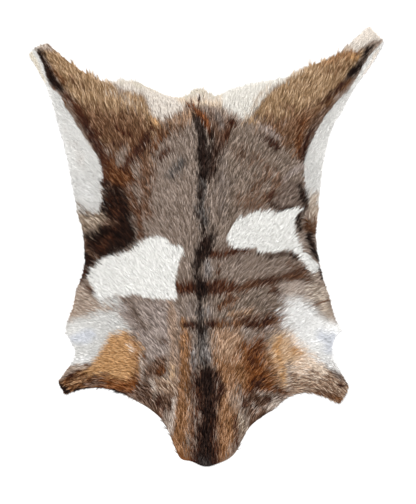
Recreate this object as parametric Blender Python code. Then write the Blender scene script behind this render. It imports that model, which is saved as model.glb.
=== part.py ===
"""A goatskin tanned with its hair on: one cut piece of skin, laid flat with the hair side up.

Metres, +Z up. +Y runs along the spine from the neck to the tail, and +X is the hide's right as it is
seen from above with its tail away from the viewer. The origin is on the floor, under the middle of
the hide's bounding box. Tables are in millimetres on a hide of the chart's size, and the driving
dimensions below scale them.
"""

import math
from collections import namedtuple

import bmesh
import bpy
import numpy as np
from mathutils import Vector
from mathutils.geometry import delaunay_2d_cdt

MM = 0.001

# Driving dimensions

HIDE_WIDTH = 0.708  # from one hind shank's outer corner to the other's
HIDE_LENGTH = 0.878  # from the right hind shank to the end of the neck
SKIN_THICKNESS = 1.5 * MM
PILE_DEPTH = 6.5 * MM  # how high the lying hair stands over the skin on the sides
RIM_PILE = 2.0 * MM  # the hair's height where the knife cut the rim
SHOULDER = 24 * MM  # the pile reaches its full height this far in from the rim

# The pile's lumps: locks of hair that lie towards the tail and out to the sides

LUMP_WIDTH = 30 * MM
LUMP_LENGTH = 58 * MM
LUMP_RISE = 2.6 * MM
LUMP_SINK = 0.4  # the share of the rise that goes below the pile's mean height
LUMP_TIP = 0.8  # how far along a lump its highest point is
LUMP_STAGGER = 0.5  # each column of lumps starts half a lump after the last
LUMP_DRIFT = 0.13  # how far, in lumps, that start strays
LUMP_DRIFT_TURN = 2.1  # the strays' change from one column to the next, in radians
LAY_SLOPE = 0.62  # how far sideways the hair runs for its way along the spine, at the flanks
LAY_SPREAD = 0.16  # the distance from the spine at which it reaches that slope
SPINE_OFFSET = -9 * MM

# The mesh

LATTICE_STEP = 11.5 * MM
RIM_STEP = 9 * MM
RIM_CLEARANCE = 0.6  # lattice points stay this share of a step off the rim
CURVE_STEPS = 12  # straight pieces between two stations of the outline
SAME_POINT = 1e-7  # points closer than this are one
INSIDE_ONLY = 1  # the triangulation keeps only the triangles inside the outline

# Rim locks: tapered tufts that hang over the cut edge

TIP_SHARE = 0.28  # a tuft's size at its tip, as a share of its root
SHORTEST_TUFT = 0.3  # the shortest tuft, as a share of the longest on its edge
GOLDEN_SHARE = 0.618034  # spreads the lengths evenly without a repeat

COAT_BROWN = (0.171, 0.109, 0.069, 1.0)
COAT_ROUGHNESS = 0.75

CHART_WIDTH = 708
CHART_LENGTH = 878

Station = namedtuple("Station", "across along corner")
Edge = namedtuple("Edge", "name stations")
SMOOTH, CORNER = False, True

# The outline, clockwise from the left hind shank as seen from above

OUTLINE = (
    Edge("left hind shank", (
        Station(-354, 382, CORNER),
        Station(-345, 394, SMOOTH),
        Station(-318, 406, CORNER),
        Station(-304, 393, SMOOTH),
    )),
    Edge("left leg, inner", (
        Station(-275, 369, SMOOTH),
        Station(-245, 348, SMOOTH),
        Station(-209, 330, SMOOTH),
    )),
    Edge("left rump", (
        Station(-139, 328, SMOOTH),
        Station(-113, 316, SMOOTH),
        Station(-63, 298, SMOOTH),
    )),
    Edge("tail", (
        Station(-39, 301, SMOOTH),
        Station(-25, 310, SMOOTH),
        Station(-10, 314, SMOOTH),
        Station(3, 306, SMOOTH),
        Station(15, 300, SMOOTH),
    )),
    Edge("right rump", (
        Station(41, 309, SMOOTH),
        Station(79, 322, SMOOTH),
        Station(123, 331, SMOOTH),
        Station(169, 340, SMOOTH),
        Station(193, 353, SMOOTH),
    )),
    Edge("right leg, inner", (
        Station(223, 366, SMOOTH),
        Station(254, 377, SMOOTH),
        Station(277, 396, SMOOTH),
    )),
    Edge("right hind shank", (
        Station(303, 421, SMOOTH),
        Station(325, 439, CORNER),
        Station(339, 424, SMOOTH),
        Station(354, 409, CORNER),
    )),
    Edge("right leg, outer", (
        Station(337, 376, SMOOTH),
        Station(291, 309, SMOOTH),
        Station(272, 272, SMOOTH),
    )),
    Edge("right flank", (
        Station(253, 241, SMOOTH),
        Station(240, 199, SMOOTH),
        Station(231, 149, SMOOTH),
        Station(224, 85, SMOOTH),
        Station(218, 13, SMOOTH),
        Station(223, -27, SMOOTH),
        Station(247, -109, SMOOTH),
        Station(258, -147, SMOOTH),
    )),
    Edge("right elbow", (
        Station(271, -165, CORNER),
        Station(255, -186, SMOOTH),
        Station(253, -217, SMOOTH),
    )),
    Edge("right foreleg", (
        Station(263, -242, SMOOTH),
        Station(278, -269, SMOOTH),
        Station(284, -279, CORNER),
        Station(275, -300, SMOOTH),
        Station(265, -314, CORNER),
    )),
    Edge("right armpit", (
        Station(211, -292, SMOOTH),
        Station(183, -293, SMOOTH),
        Station(159, -303, SMOOTH),
        Station(137, -322, SMOOTH),
    )),
    Edge("neck, right", (
        Station(87, -360, SMOOTH),
        Station(72, -384, SMOOTH),
        Station(53, -417, SMOOTH),
    )),
    Edge("neck, end", (
        Station(21, -434, SMOOTH),
        Station(-3, -439, SMOOTH),
        Station(-31, -429, SMOOTH),
        Station(-51, -424, SMOOTH),
    )),
    Edge("neck, left", (
        Station(-61, -406, SMOOTH),
        Station(-85, -352, SMOOTH),
    )),
    Edge("left armpit", (
        Station(-109, -328, SMOOTH),
        Station(-143, -307, SMOOTH),
        Station(-175, -291, SMOOTH),
        Station(-204, -283, SMOOTH),
        Station(-243, -284, SMOOTH),
    )),
    Edge("left foreleg", (
        Station(-282, -295, CORNER),
        Station(-297, -271, CORNER),
        Station(-279, -247, SMOOTH),
    )),
    Edge("left elbow", (
        Station(-262, -216, SMOOTH),
        Station(-271, -189, SMOOTH),
        Station(-281, -172, SMOOTH),
        Station(-278, -151, SMOOTH),
    )),
    Edge("left flank", (
        Station(-267, -123, SMOOTH),
        Station(-261, -93, SMOOTH),
        Station(-245, -47, SMOOTH),
        Station(-243, -7, SMOOTH),
        Station(-248, 35, SMOOTH),
        Station(-259, 83, SMOOTH),
        Station(-282, 195, SMOOTH),
    )),
    Edge("left leg, outer", (
        Station(-309, 287, SMOOTH),
    )),
    Edge("left hind shank, outer", (
        Station(-324, 327, SMOOTH),
    )),
)

# Where the hair stands higher or lower than PILE_DEPTH, each row fading out with distance

Depth = namedtuple("Depth", "name across along reach extra")
PILE_DEPTHS = (
    Depth("mane at the neck", -5, -370, 70, 3.0),
    Depth("withers", -9, -200, 80, 1.4),
    Depth("loin", -9, 60, 110, 0.8),
    Depth("tail swirl", -14, 250, 55, 3.0),
    Depth("left haunch", -150, 260, 90, 1.6),
    Depth("right haunch", 150, 270, 90, 1.6),
    Depth("left belly strip", -265, 190, 70, -3.2),
    Depth("right belly strip", 245, 190, 60, -3.0),
    Depth("left elbow fold", -245, -170, 55, -3.0),
    Depth("right elbow fold", 235, -170, 55, -3.0),
    Depth("left hind shank", -325, 380, 60, -2.2),
    Depth("right hind shank", 330, 400, 60, -2.2),
)
RIDGE_RISE = 2.2 * MM  # the dark hair along the spine stands a little over the rest
RIDGE_HALF_WIDTH = 22 * MM

# Where the dried skin curls off the floor

Curl = namedtuple("Curl", "name across along reach lift")
CURLS = (
    Curl("left hind shank", -345, 390, 75, 5.0),
    Curl("right hind shank", 345, 424, 80, 6.0),
    Curl("left foreleg", -295, -290, 55, 3.5),
    Curl("right foreleg", 280, -300, 60, 4.0),
    Curl("right elbow", 274, -164, 38, 3.0),
    Curl("left elbow", -290, -165, 42, 2.5),
    Curl("neck end", 5, -446, 65, 3.5),
    Curl("tail", -10, 322, 42, 2.5),
)

# Edges with tufts over the cut: the longest tuft in mm, and its heading in degrees from +X

Fringe = namedtuple("Fringe", "edge longest heading")
FRINGES = (
    Fringe("left leg, inner", 15, 108),
    Fringe("left rump", 8, 102),
    Fringe("tail", 11, 100),
    Fringe("right rump", 13, 84),
    Fringe("right leg, inner", 16, 82),
    Fringe("right flank", 5, 32),
    Fringe("left flank", 6, 150),
    Fringe("left leg, outer", 5, 165),
)


def clear_scene():
    """Removes whatever the file held before."""
    for obj in list(bpy.data.objects):
        bpy.data.objects.remove(obj, do_unlink=True)


def new_collection(name):
    collection = bpy.data.collections.new(name)
    bpy.context.scene.collection.children.link(collection)
    return collection


def on_hide(across, along):
    """A place in the chart, in metres on this hide."""
    return Vector((across * HIDE_WIDTH / CHART_WIDTH, along * HIDE_LENGTH / CHART_LENGTH))


def outline_curve(collection):
    """The cut edge as a flat closed Bezier curve, kept as a hidden guide."""
    stations = [station for edge in OUTLINE for station in edge.stations]
    data = bpy.data.curves.new("cut_edge", "CURVE")
    data.dimensions = "2D"
    data.fill_mode = "NONE"
    data.resolution_u = CURVE_STEPS
    spline = data.splines.new("BEZIER")
    spline.bezier_points.add(len(stations) - 1)
    spline.use_cyclic_u = True
    for point, station in zip(spline.bezier_points, stations):
        point.co.xy = on_hide(station.across, station.along)
        handle = "VECTOR" if station.corner else "AUTO"
        point.handle_left_type = handle
        point.handle_right_type = handle
    guide = bpy.data.objects.new("cut_edge", data)
    guide.hide_render = True
    guide.display_type = "WIRE"
    collection.objects.link(guide)
    return guide


def curve_points(guide):
    """The guide's points in order, CURVE_STEPS of them for each station."""
    bpy.context.view_layer.update()
    graph = bpy.context.evaluated_depsgraph_get()
    mesh = bpy.data.meshes.new_from_object(guide.evaluated_get(graph))
    points = [vertex.co.xy.copy() for vertex in mesh.vertices]
    bpy.data.meshes.remove(mesh)
    return points


def even_run(points):
    """Points a RIM_STEP apart along a run of points, without its last one."""
    lengths = [(b - a).length for a, b in zip(points, points[1:])]
    whole = sum(lengths)
    count = max(1, round(whole / RIM_STEP))
    made = []
    index = 0
    passed = 0.0
    for step in range(count):
        target = whole * step / count
        while passed + lengths[index] < target:
            passed += lengths[index]
            index += 1
        share = (target - passed) / lengths[index]
        made.append(points[index].lerp(points[index + 1], share))
    return made


def rim_of(guide):
    """The rim's points, evenly spaced between corners, and the name of the edge each one starts."""
    dense = curve_points(guide)
    flat = [(edge.name, station) for edge in OUTLINE for station in edge.stations]
    corners = [k for k, (_, station) in enumerate(flat) if station.corner]
    rim, names = [], []
    for start, end in zip(corners, corners[1:] + [corners[0] + len(flat)]):
        span = range(start * CURVE_STEPS, end * CURVE_STEPS + 1)
        run = even_run([dense[k % len(dense)] for k in span])
        rim += run
        for point in run:
            nearest = min(span, key=lambda k: (dense[k % len(dense)] - point).length_squared)
            names.append(flat[(nearest // CURVE_STEPS) % len(flat)][0])
    return rim, names


def rim_distance(places, rim):
    """How far each place (an N x 2 array) is from the closed rim, and whether it is inside."""
    starts = np.array([tuple(p) for p in rim])
    ends = np.roll(starts, -1, axis=0)
    nearest = np.full(len(places), np.inf)
    inside = np.zeros(len(places), bool)
    for a, b in zip(starts, ends):
        run = b - a
        share = np.clip((places - a) @ run / (run @ run), 0, 1)
        nearest = np.minimum(nearest, np.linalg.norm(places - a - share[:, None] * run, axis=1))
        if a[1] != b[1]:
            crosses = (a[1] > places[:, 1]) != (b[1] > places[:, 1])
            across = a[0] + (places[:, 1] - a[1]) * run[0] / run[1]
            inside ^= crosses & (places[:, 0] < across)
    return nearest, inside


def lattice_inside(rim):
    """A three-way lattice of points over the hide, clear of its rim."""
    row_step = LATTICE_STEP * math.sqrt(3) / 2
    rows = math.ceil(HIDE_LENGTH / row_step)
    columns = math.ceil(HIDE_WIDTH / LATTICE_STEP)
    places = []
    for row in range(rows + 1):
        shift = LATTICE_STEP / 2 * (row % 2)
        for column in range(columns + 1):
            x = -HIDE_WIDTH / 2 + column * LATTICE_STEP + shift
            places.append((x, -HIDE_LENGTH / 2 + row * row_step))
    places = np.array(places)
    distance, inside = rim_distance(places, rim)
    return places[inside & (distance > RIM_CLEARANCE * LATTICE_STEP)]


def smooth(share):
    """0 to 1 with level ends."""
    share = np.clip(share, 0, 1)
    return share * share * (3 - 2 * share)


def distance_to(places, row):
    return np.linalg.norm(places - np.array(on_hide(row.across, row.along)), axis=1)


def skin_lift(places):
    """How far the underside curls off the floor."""
    lift = np.zeros(len(places))
    for curl in CURLS:
        share = np.clip(1 - distance_to(places, curl) / (curl.reach * MM), 0, 1)
        lift += curl.lift * MM * share**2
    return lift


def lumps(places):
    """Locks laid like shingles: each rises along the lay to its tip, then drops to the next."""
    side = places[:, 0] - SPINE_OFFSET
    slope = LAY_SLOPE * np.clip(np.abs(side) / LAY_SPREAD, 0, 1)
    across = (np.abs(side) - slope * places[:, 1]) / LUMP_WIDTH
    along = places[:, 1] / LUMP_LENGTH
    column = np.round(across)
    stagger = LUMP_STAGGER * np.mod(column, 2) + LUMP_DRIFT * np.sin(LUMP_DRIFT_TURN * column)
    share = np.mod(along + stagger, 1.0)
    rise = smooth(share / LUMP_TIP) - smooth((share - LUMP_TIP) / (1 - LUMP_TIP))
    crown = np.cos(math.pi * (across - column)) ** 2
    return LUMP_RISE * (rise * crown - LUMP_SINK)


def pile_height(places, distance):
    """The hair's height over the skin."""
    full = np.full(len(places), PILE_DEPTH)
    for row in PILE_DEPTHS:
        full += row.extra * MM * np.exp(-((distance_to(places, row) / (row.reach * MM)) ** 2))
    ridge = (places[:, 0] - SPINE_OFFSET) / RIDGE_HALF_WIDTH
    full += RIDGE_RISE * np.exp(-(ridge**2))
    full += lumps(places)
    share = smooth(distance / SHOULDER)
    return RIM_PILE + (full - RIM_PILE) * share


def flat_hide(rim):
    """A flat mesh of the whole outline with the lattice inside it. A curve's own fill has no inner
    points to lift, so the fill is a constrained triangulation."""
    inner = lattice_inside(rim)
    points = list(rim) + [Vector(place) for place in inner]
    filled = delaunay_2d_cdt(points, [], [list(range(len(rim)))], INSIDE_ONLY, SAME_POINT)
    mesh = bmesh.new()
    vertices = [mesh.verts.new((point.x, point.y, 0)) for point in filled[0]]
    for corners in filled[2]:
        mesh.faces.new([vertices[k] for k in corners])
    return mesh


def raise_pile(mesh, rim):
    """Extrudes the flat hide upwards, then sets the height of its two sides."""
    lower = list(mesh.verts)
    raised = bmesh.ops.extrude_face_region(mesh, geom=list(mesh.faces), use_keep_orig=True)
    upper = [item for item in raised["geom"] if isinstance(item, bmesh.types.BMVert)]
    for group, is_top in ((lower, False), (upper, True)):
        places = np.array([vertex.co.xy for vertex in group])
        height = skin_lift(places)
        if is_top:
            distance, _ = rim_distance(places, rim)
            height += SKIN_THICKNESS + pile_height(places, distance)
        for vertex, z in zip(group, height):
            vertex.co.z = z
    bmesh.ops.recalc_face_normals(mesh, faces=list(mesh.faces))
    return set(lower)


def rim_walls(mesh, lower):
    """The upright faces at the rim: two of their corners belong to the underside."""
    return [face for face in mesh.faces if sum(vertex in lower for vertex in face.verts) == 2]


def pull_tufts(mesh, lower, rim, names):
    """Draws tufts out of the rim's own wall, so that each root is one with the hide."""
    fringes = {fringe.edge: fringe for fringe in FRINGES}
    middles = np.array([tuple((a + b) / 2) for a, b in zip(rim, rim[1:] + rim[:1])])
    for wall in rim_walls(mesh, lower):
        centre = wall.calc_center_median()
        index = int(np.argmin(np.linalg.norm(middles - np.array(centre.xy), axis=1)))
        fringe = fringes.get(names[index])
        if fringe is None:
            continue
        spread = (index * GOLDEN_SHARE) % 1.0
        length = fringe.longest * MM * (SHORTEST_TUFT + (1 - SHORTEST_TUFT) * spread**2)
        heading = math.radians(fringe.heading)
        reach = Vector((math.cos(heading), math.sin(heading))) * length
        floor = min(vertex.co.z for vertex in wall.verts)
        tip = bmesh.ops.extrude_discrete_faces(mesh, faces=[wall])["faces"][0]
        for vertex in tip.verts:
            vertex.co.xy = centre.xy + (vertex.co.xy - centre.xy) * TIP_SHARE + reach
            vertex.co.z = floor + (vertex.co.z - floor) * TIP_SHARE


def coat_material():
    material = bpy.data.materials.new("hair_on_goatskin")
    material.use_nodes = True
    shader = material.node_tree.nodes["Principled BSDF"]
    shader.inputs["Base Color"].default_value = COAT_BROWN
    shader.inputs["Roughness"].default_value = COAT_ROUGHNESS
    shader.inputs["Metallic"].default_value = 0.0
    return material


def goatskin(collection, guide):
    """The hide as one solid: skin and lying hair together."""
    rim, names = rim_of(guide)
    mesh = flat_hide(rim)
    lower = raise_pile(mesh, rim)
    pull_tufts(mesh, lower, rim, names)
    data = bpy.data.meshes.new("goatskin")
    mesh.to_mesh(data)
    mesh.free()
    data.materials.append(coat_material())
    data.shade_smooth()
    hide = bpy.data.objects.new("goatskin", data)
    collection.objects.link(hide)
    return hide


def main():
    clear_scene()
    guides = new_collection("guides")
    guides.hide_render = True
    hides = new_collection("goatskin")
    goatskin(hides, outline_curve(guides))


main()
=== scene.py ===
"""A goatskin tanned with its hair on, dressed with its cut skin and its coat of hair.

Tables are in millimetres on a hide of the chart's size, as seen from above: across runs to the right,
along runs from the neck to the tail, and the origin is under the middle of the hide's bounding box.
"""

import math
from collections import namedtuple

import bmesh
import bpy
import numpy as np
from bpy.props import FloatProperty, FloatVectorProperty, IntProperty, PointerProperty
from bpy.types import Operator, Panel, PropertyGroup
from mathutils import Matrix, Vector
from mathutils.geometry import delaunay_2d_cdt


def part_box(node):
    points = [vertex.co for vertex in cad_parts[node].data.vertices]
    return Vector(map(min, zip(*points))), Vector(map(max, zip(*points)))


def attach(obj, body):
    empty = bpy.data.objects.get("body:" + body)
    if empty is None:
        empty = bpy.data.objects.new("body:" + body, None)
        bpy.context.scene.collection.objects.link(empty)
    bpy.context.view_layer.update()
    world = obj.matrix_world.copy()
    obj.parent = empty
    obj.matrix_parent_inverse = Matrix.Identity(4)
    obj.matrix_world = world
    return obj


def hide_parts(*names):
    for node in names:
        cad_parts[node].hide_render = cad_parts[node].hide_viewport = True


bl_info = {
    "name": "Goatskin",
    "version": (1, 0, 0),
    "blender": (4, 5, 0),
    "location": "3D View > Sidebar > Goatskin",
    "description": "Dresses a flat goatskin with its cut skin and its coat of lying hair",
    "category": "Add Mesh",
}

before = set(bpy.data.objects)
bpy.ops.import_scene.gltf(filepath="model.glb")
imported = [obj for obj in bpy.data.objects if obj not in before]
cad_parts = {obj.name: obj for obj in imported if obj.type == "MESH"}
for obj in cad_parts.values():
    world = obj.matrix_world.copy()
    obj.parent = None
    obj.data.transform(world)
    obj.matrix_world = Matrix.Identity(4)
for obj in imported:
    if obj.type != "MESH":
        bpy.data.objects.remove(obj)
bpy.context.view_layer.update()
NODE = "goatskin"
BODY = "root"

MM = 0.001
CHART_WIDTH = 708
CHART_LENGTH = 878
LOW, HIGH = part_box(NODE)
ACROSS_SCALE = (HIGH.x - LOW.x) / CHART_WIDTH  # metres for each millimetre of the chart
ALONG_SCALE = (HIGH.y - LOW.y) / CHART_LENGTH

# The skin, as in the solid that it stands for

SKIN_THICKNESS = 1.5
SKIN_STEP = 9.0  # between the points of the skin's mesh
RIM_STEP = 6.0
RIM_CLEARANCE = 0.6  # inner points stay this share of a step off the rim
CURVE_STEPS = 12  # straight pieces between two stations of the outline
SAME_POINT = 1e-7  # points closer than this are one
INSIDE_ONLY = 1  # the triangulation keeps only the triangles inside the outline
SHARP_ANGLE = 50.0  # the skin is smooth where it turns less than this, in degrees
SKIN_PAINTED_SHADE_POWER = 1.12  # the power that darkens the skin's paint under coloured hair: painted shade between the roots

# The pile's height over the skin

PILE_DEPTH = 6.5
RIM_PILE = 2.0
SHOULDER = 24.0
LUMP_WIDTH = 30.0
LUMP_LENGTH = 58.0
LUMP_RISE = 2.6
LUMP_SINK = 0.4  # the share of the rise that goes below the pile's mean height
LUMP_TIP = 0.8  # how far along a lump its highest point is
LUMP_STAGGER = 0.5  # each column of lumps starts half a lump after the last
LUMP_DRIFT = 0.13  # how far, in lumps, that start strays
LUMP_DRIFT_TURN = 2.1  # the strays' change from one column to the next, in radians
LAY_SLOPE = 0.62  # how far sideways a column of lumps runs for its way along the spine
LAY_SPREAD = 160.0  # the distance from the spine at which it reaches that slope
SPINE_OFFSET = -9.0
RIDGE_RISE = 2.2
RIDGE_HALF_WIDTH = 22.0

# The outline, clockwise from the left hind shank. A row of its stations holds across, along, and CORNER
# where the cut turns sharply. Overhang is how far the longest hair passes the cut, and below zero the
# hair ends inside it.

Station = namedtuple("Station", "across along corner", defaults=[False])
Edge = namedtuple("Edge", "name overhang stations")
CORNER = True
OUTLINE = (
    Edge("left hind shank", 1.5, ((-354, 382, CORNER), (-345, 394), (-318, 406, CORNER), (-304, 393))),
    Edge("left leg, inner", 13, ((-275, 369), (-245, 348), (-209, 330))),
    Edge("left rump", 2, ((-139, 328), (-113, 316), (-63, 298))),
    Edge("tail", 8, ((-39, 301), (-25, 310), (-10, 314), (3, 306), (15, 300))),
    Edge("right rump", 8, ((41, 309), (79, 322), (123, 331), (169, 340), (193, 353))),
    Edge("right leg, inner", 15, ((223, 366), (254, 377), (277, 396))),
    Edge("right hind shank", 1.5, ((303, 421), (325, 439, CORNER), (339, 424), (354, 409, CORNER))),
    Edge("right leg, outer", -1, ((337, 376), (291, 309), (272, 272), (253, 241), (240, 199), (231, 149))),
    Edge("right flank", 4, ((224, 85), (218, 13), (223, -27), (247, -109), (258, -147))),
    Edge("right elbow", -0.5, ((271, -165, CORNER), (255, -186), (253, -217))),
    Edge("right foreleg", 2, (
        (263, -242), (278, -269), (284, -279, CORNER), (275, -300), (265, -314, CORNER))),
    Edge("right armpit", 2, ((211, -292), (183, -293), (159, -303), (137, -322))),
    Edge("neck, right", 3, ((87, -360), (72, -384), (53, -417))),
    Edge("neck, end", 2, ((21, -434), (-3, -439), (-31, -429), (-51, -424))),
    Edge("neck, left", 3, ((-61, -406), (-85, -352))),
    Edge("left armpit", 3, ((-109, -328), (-143, -307), (-175, -291), (-204, -283), (-243, -284))),
    Edge("left foreleg", 2, ((-282, -295, CORNER), (-297, -271, CORNER), (-279, -247))),
    Edge("left elbow", -0.5, ((-262, -216), (-271, -189), (-281, -172), (-278, -151))),
    Edge("left flank", 5, ((-267, -123), (-261, -93), (-245, -47), (-243, -7), (-248, 35), (-259, 83))),
    Edge("left leg, outer", -1, ((-282, 195), (-309, 287), (-324, 327))),
)

# Where the dried skin curls off the floor

Curl = namedtuple("Curl", "name across along reach lift")
CURLS = (
    Curl("left hind shank", -345, 390, 75, 5.0),
    Curl("right hind shank", 345, 424, 80, 6.0),
    Curl("left foreleg", -295, -290, 55, 3.5),
    Curl("right foreleg", 280, -300, 60, 4.0),
    Curl("right elbow", 274, -164, 38, 3.0),
    Curl("left elbow", -290, -165, 42, 2.5),
    Curl("neck end", 5, -446, 65, 3.5),
    Curl("tail", -10, 322, 42, 2.5),
)

# Where the hair stands higher or lower than PILE_DEPTH, and where it is longer or shorter than usual.
# Each row fades out with distance.

Pile = namedtuple("Pile", "name across along reach extra")
PILE_DEPTHS = (
    Pile("mane at the neck", -5, -370, 70, 3.0),
    Pile("withers", -9, -200, 80, 1.4),
    Pile("loin", -9, 60, 110, 0.8),
    Pile("tail swirl", -14, 250, 55, 3.0),
    Pile("left haunch", -150, 260, 90, 1.6),
    Pile("right haunch", 150, 270, 90, 1.6),
    Pile("left belly strip", -265, 190, 70, -3.2),
    Pile("right belly strip", 245, 190, 60, -3.0),
    Pile("left elbow fold", -245, -170, 55, -3.0),
    Pile("right elbow fold", 235, -170, 55, -3.0),
    Pile("left hind shank", -325, 380, 60, -2.2),
    Pile("right hind shank", 330, 400, 60, -2.2),
)
HAIR_LENGTHS = (
    Pile("mane at the neck", -5, -370, 70, 5.0),
    Pile("tail swirl", -10, 240, 55, 7.0),
    Pile("left haunch", -170, 270, 90, 4.0),
    Pile("right haunch", 160, 280, 90, 4.0),
    Pile("left belly strip, above", -310, 300, 60, -6.0),
    Pile("left belly strip", -262, 180, 60, -7.0),
    Pile("right belly strip, above", 270, 270, 60, -6.0),
    Pile("right belly strip", 235, 170, 50, -6.0),
    Pile("left elbow fold", -245, -170, 50, -7.0),
    Pile("right elbow fold", 240, -175, 50, -7.0),
    Pile("left shoulder", -175, -220, 60, -3.0),
    Pile("right shoulder", 190, -220, 60, -3.0),
    Pile("left hind shank", -330, 385, 60, -7.0),
    Pile("right hind shank", 335, 405, 60, -7.0),
    Pile("left foreleg", -275, -275, 45, -6.0),
    Pile("right foreleg", 260, -285, 50, -6.0),
    Pile("whorl", 201, 41, 24, -8.0),
)

# The lay of the hair: the way that it points, in degrees from across, 90 being towards the tail

Lay = namedtuple("Lay", "name across along heading reach")
LAYS = (
    Lay("spine, tail", -9, 285, 96, 34),
    Lay("spine, croup", -7, 225, 92, 34),
    Lay("spine, loin", -9, 140, 90, 50),
    Lay("spine, ribs", -9, 40, 90, 50),
    Lay("spine, saddle", -9, -50, 90, 50),
    Lay("spine, withers", -9, -140, 90, 50),
    Lay("spine, shoulders", -9, -230, 90, 50),
    Lay("spine, mane", -6, -320, 90, 50),
    Lay("spine, poll", -4, -420, 90, 50),
    Lay("left croup", -80, 220, 108, 50),
    Lay("left loin", -80, 150, 108, 50),
    Lay("left ribs", -85, 80, 112, 50),
    Lay("left saddle", -90, 10, 120, 50),
    Lay("left saddle, low", -90, -60, 128, 50),
    Lay("left shoulder blade", -90, -130, 130, 50),
    Lay("left shoulder", -95, -200, 128, 45),
    Lay("left neck", -80, -270, 118, 45),
    Lay("left neck edge", -62, -350, 106, 45),
    Lay("left rump", -130, 300, 98, 45),
    Lay("left haunch", -150, 220, 110, 50),
    Lay("left flank, high", -165, 140, 122, 50),
    Lay("left flank", -170, 60, 130, 50),
    Lay("left flank, low", -180, -10, 138, 50),
    Lay("left white patch", -170, -60, 142, 45),
    Lay("left arm", -160, -130, 148, 40),
    Lay("left arm, golden", -175, -210, 166, 40),
    Lay("left arm, low", -180, -265, 176, 40),
    Lay("left armpit", -125, -290, 150, 36),
    Lay("left leg, root", -225, 320, 108, 45),
    Lay("left leg", -275, 350, 116, 40),
    Lay("left shank", -325, 390, 128, 40),
    Lay("left leg, dark edge", -240, 250, 120, 40),
    Lay("left flank edge", -215, 190, 118, 40),
    Lay("left belly, high", -310, 305, 138, 30),
    Lay("left belly", -280, 235, 150, 30),
    Lay("left belly, low", -255, 175, 156, 34),
    Lay("left belly, end", -240, 120, 150, 34),
    Lay("left side, dark", -235, 50, 136, 40),
    Lay("left side", -235, -20, 142, 40),
    Lay("left side, low", -245, -85, 148, 34),
    Lay("left elbow", -255, -140, 160, 34),
    Lay("left elbow fold", -258, -185, 172, 34),
    Lay("left foreleg, root", -230, -235, 184, 34),
    Lay("left foreleg", -272, -272, 204, 34),
    Lay("right croup", 62, 220, 72, 50),
    Lay("right loin", 62, 150, 66, 50),
    Lay("right ribs", 66, 80, 62, 50),
    Lay("right saddle", 72, 10, 54, 50),
    Lay("right saddle, low", 75, -60, 50, 50),
    Lay("right shoulder blade", 75, -130, 52, 50),
    Lay("right shoulder", 75, -200, 58, 45),
    Lay("right neck", 65, -270, 66, 45),
    Lay("right neck edge", 50, -350, 76, 45),
    Lay("right rump", 110, 305, 82, 45),
    Lay("right haunch", 140, 250, 72, 50),
    Lay("right flank, high", 145, 160, 56, 50),
    Lay("right flank", 148, 80, 50, 50),
    Lay("right white patch", 130, 20, 46, 45),
    Lay("right side, saddle", 150, -50, 38, 45),
    Lay("right arm", 160, -120, 32, 40),
    Lay("right arm, golden", 155, -205, 32, 40),
    Lay("right arm, low", 165, -265, 8, 36),
    Lay("right armpit", 115, -290, 40, 40),
    Lay("right leg, root", 210, 325, 74, 45),
    Lay("right leg", 262, 360, 62, 40),
    Lay("right shank", 335, 405, 48, 40),
    Lay("right leg, dark edge", 235, 285, 62, 40),
    Lay("right flank edge", 200, 205, 60, 40),
    Lay("right belly, high", 290, 325, 46, 30),
    Lay("right belly", 250, 260, 38, 30),
    Lay("right belly, low", 228, 180, 40, 34),
    Lay("right belly, end", 213, 110, 60, 34),
    Lay("right side, below the whorl", 212, -10, 300, 26),
    Lay("right side", 222, -70, 26, 34),
    Lay("right elbow", 238, -125, 18, 34),
    Lay("right elbow fold", 242, -180, 4, 34),
    Lay("right foreleg, root", 220, -235, 334, 34),
    Lay("right foreleg", 262, -282, 318, 34),
)

# Where the hair is short, fine and flat. The extra is how much so.

FINE_HAIR = (
    Pile("left belly strip, high", -312, 312, 36, 1.0),
    Pile("left belly strip", -286, 240, 40, 1.0),
    Pile("left belly strip, low", -256, 165, 42, 1.0),
    Pile("right belly strip, high", 292, 318, 26, 1.0),
    Pile("right belly strip", 258, 255, 32, 1.0),
    Pile("right belly strip, low", 226, 178, 30, 1.0),
    Pile("left elbow fold", -246, -185, 54, 1.3),
    Pile("right elbow fold", 232, -175, 58, 1.2),
    Pile("left rump", -128, 318, 44, 0.8),
    Pile("left of the tail", -48, 296, 26, 0.5),
    Pile("right of the tail", 24, 300, 24, 0.6),
    Pile("right rump", 82, 300, 40, 0.8),
    Pile("right rump, outer", 128, 330, 34, 0.8),
    Pile("right shank tip", 320, 418, 30, 0.8),
    Pile("left white patch", -160, -52, 60, 0.5),
    Pile("left white patch, spine", -90, -40, 50, 0.5),
    Pile("right white patch", 90, 30, 48, 0.5),
    Pile("right white patch, flank", 155, 30, 40, 0.5),
)

# Where the hair turns out from a point, by an angle in degrees from straight out

Whorl = namedtuple("Whorl", "name across along reach turn")
WHORLS = (Whorl("right flank whorl", 201, 43, 24, 55),)

# Tufts of long hair that lie apart from the coat around them, from the place where they grow

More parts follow.
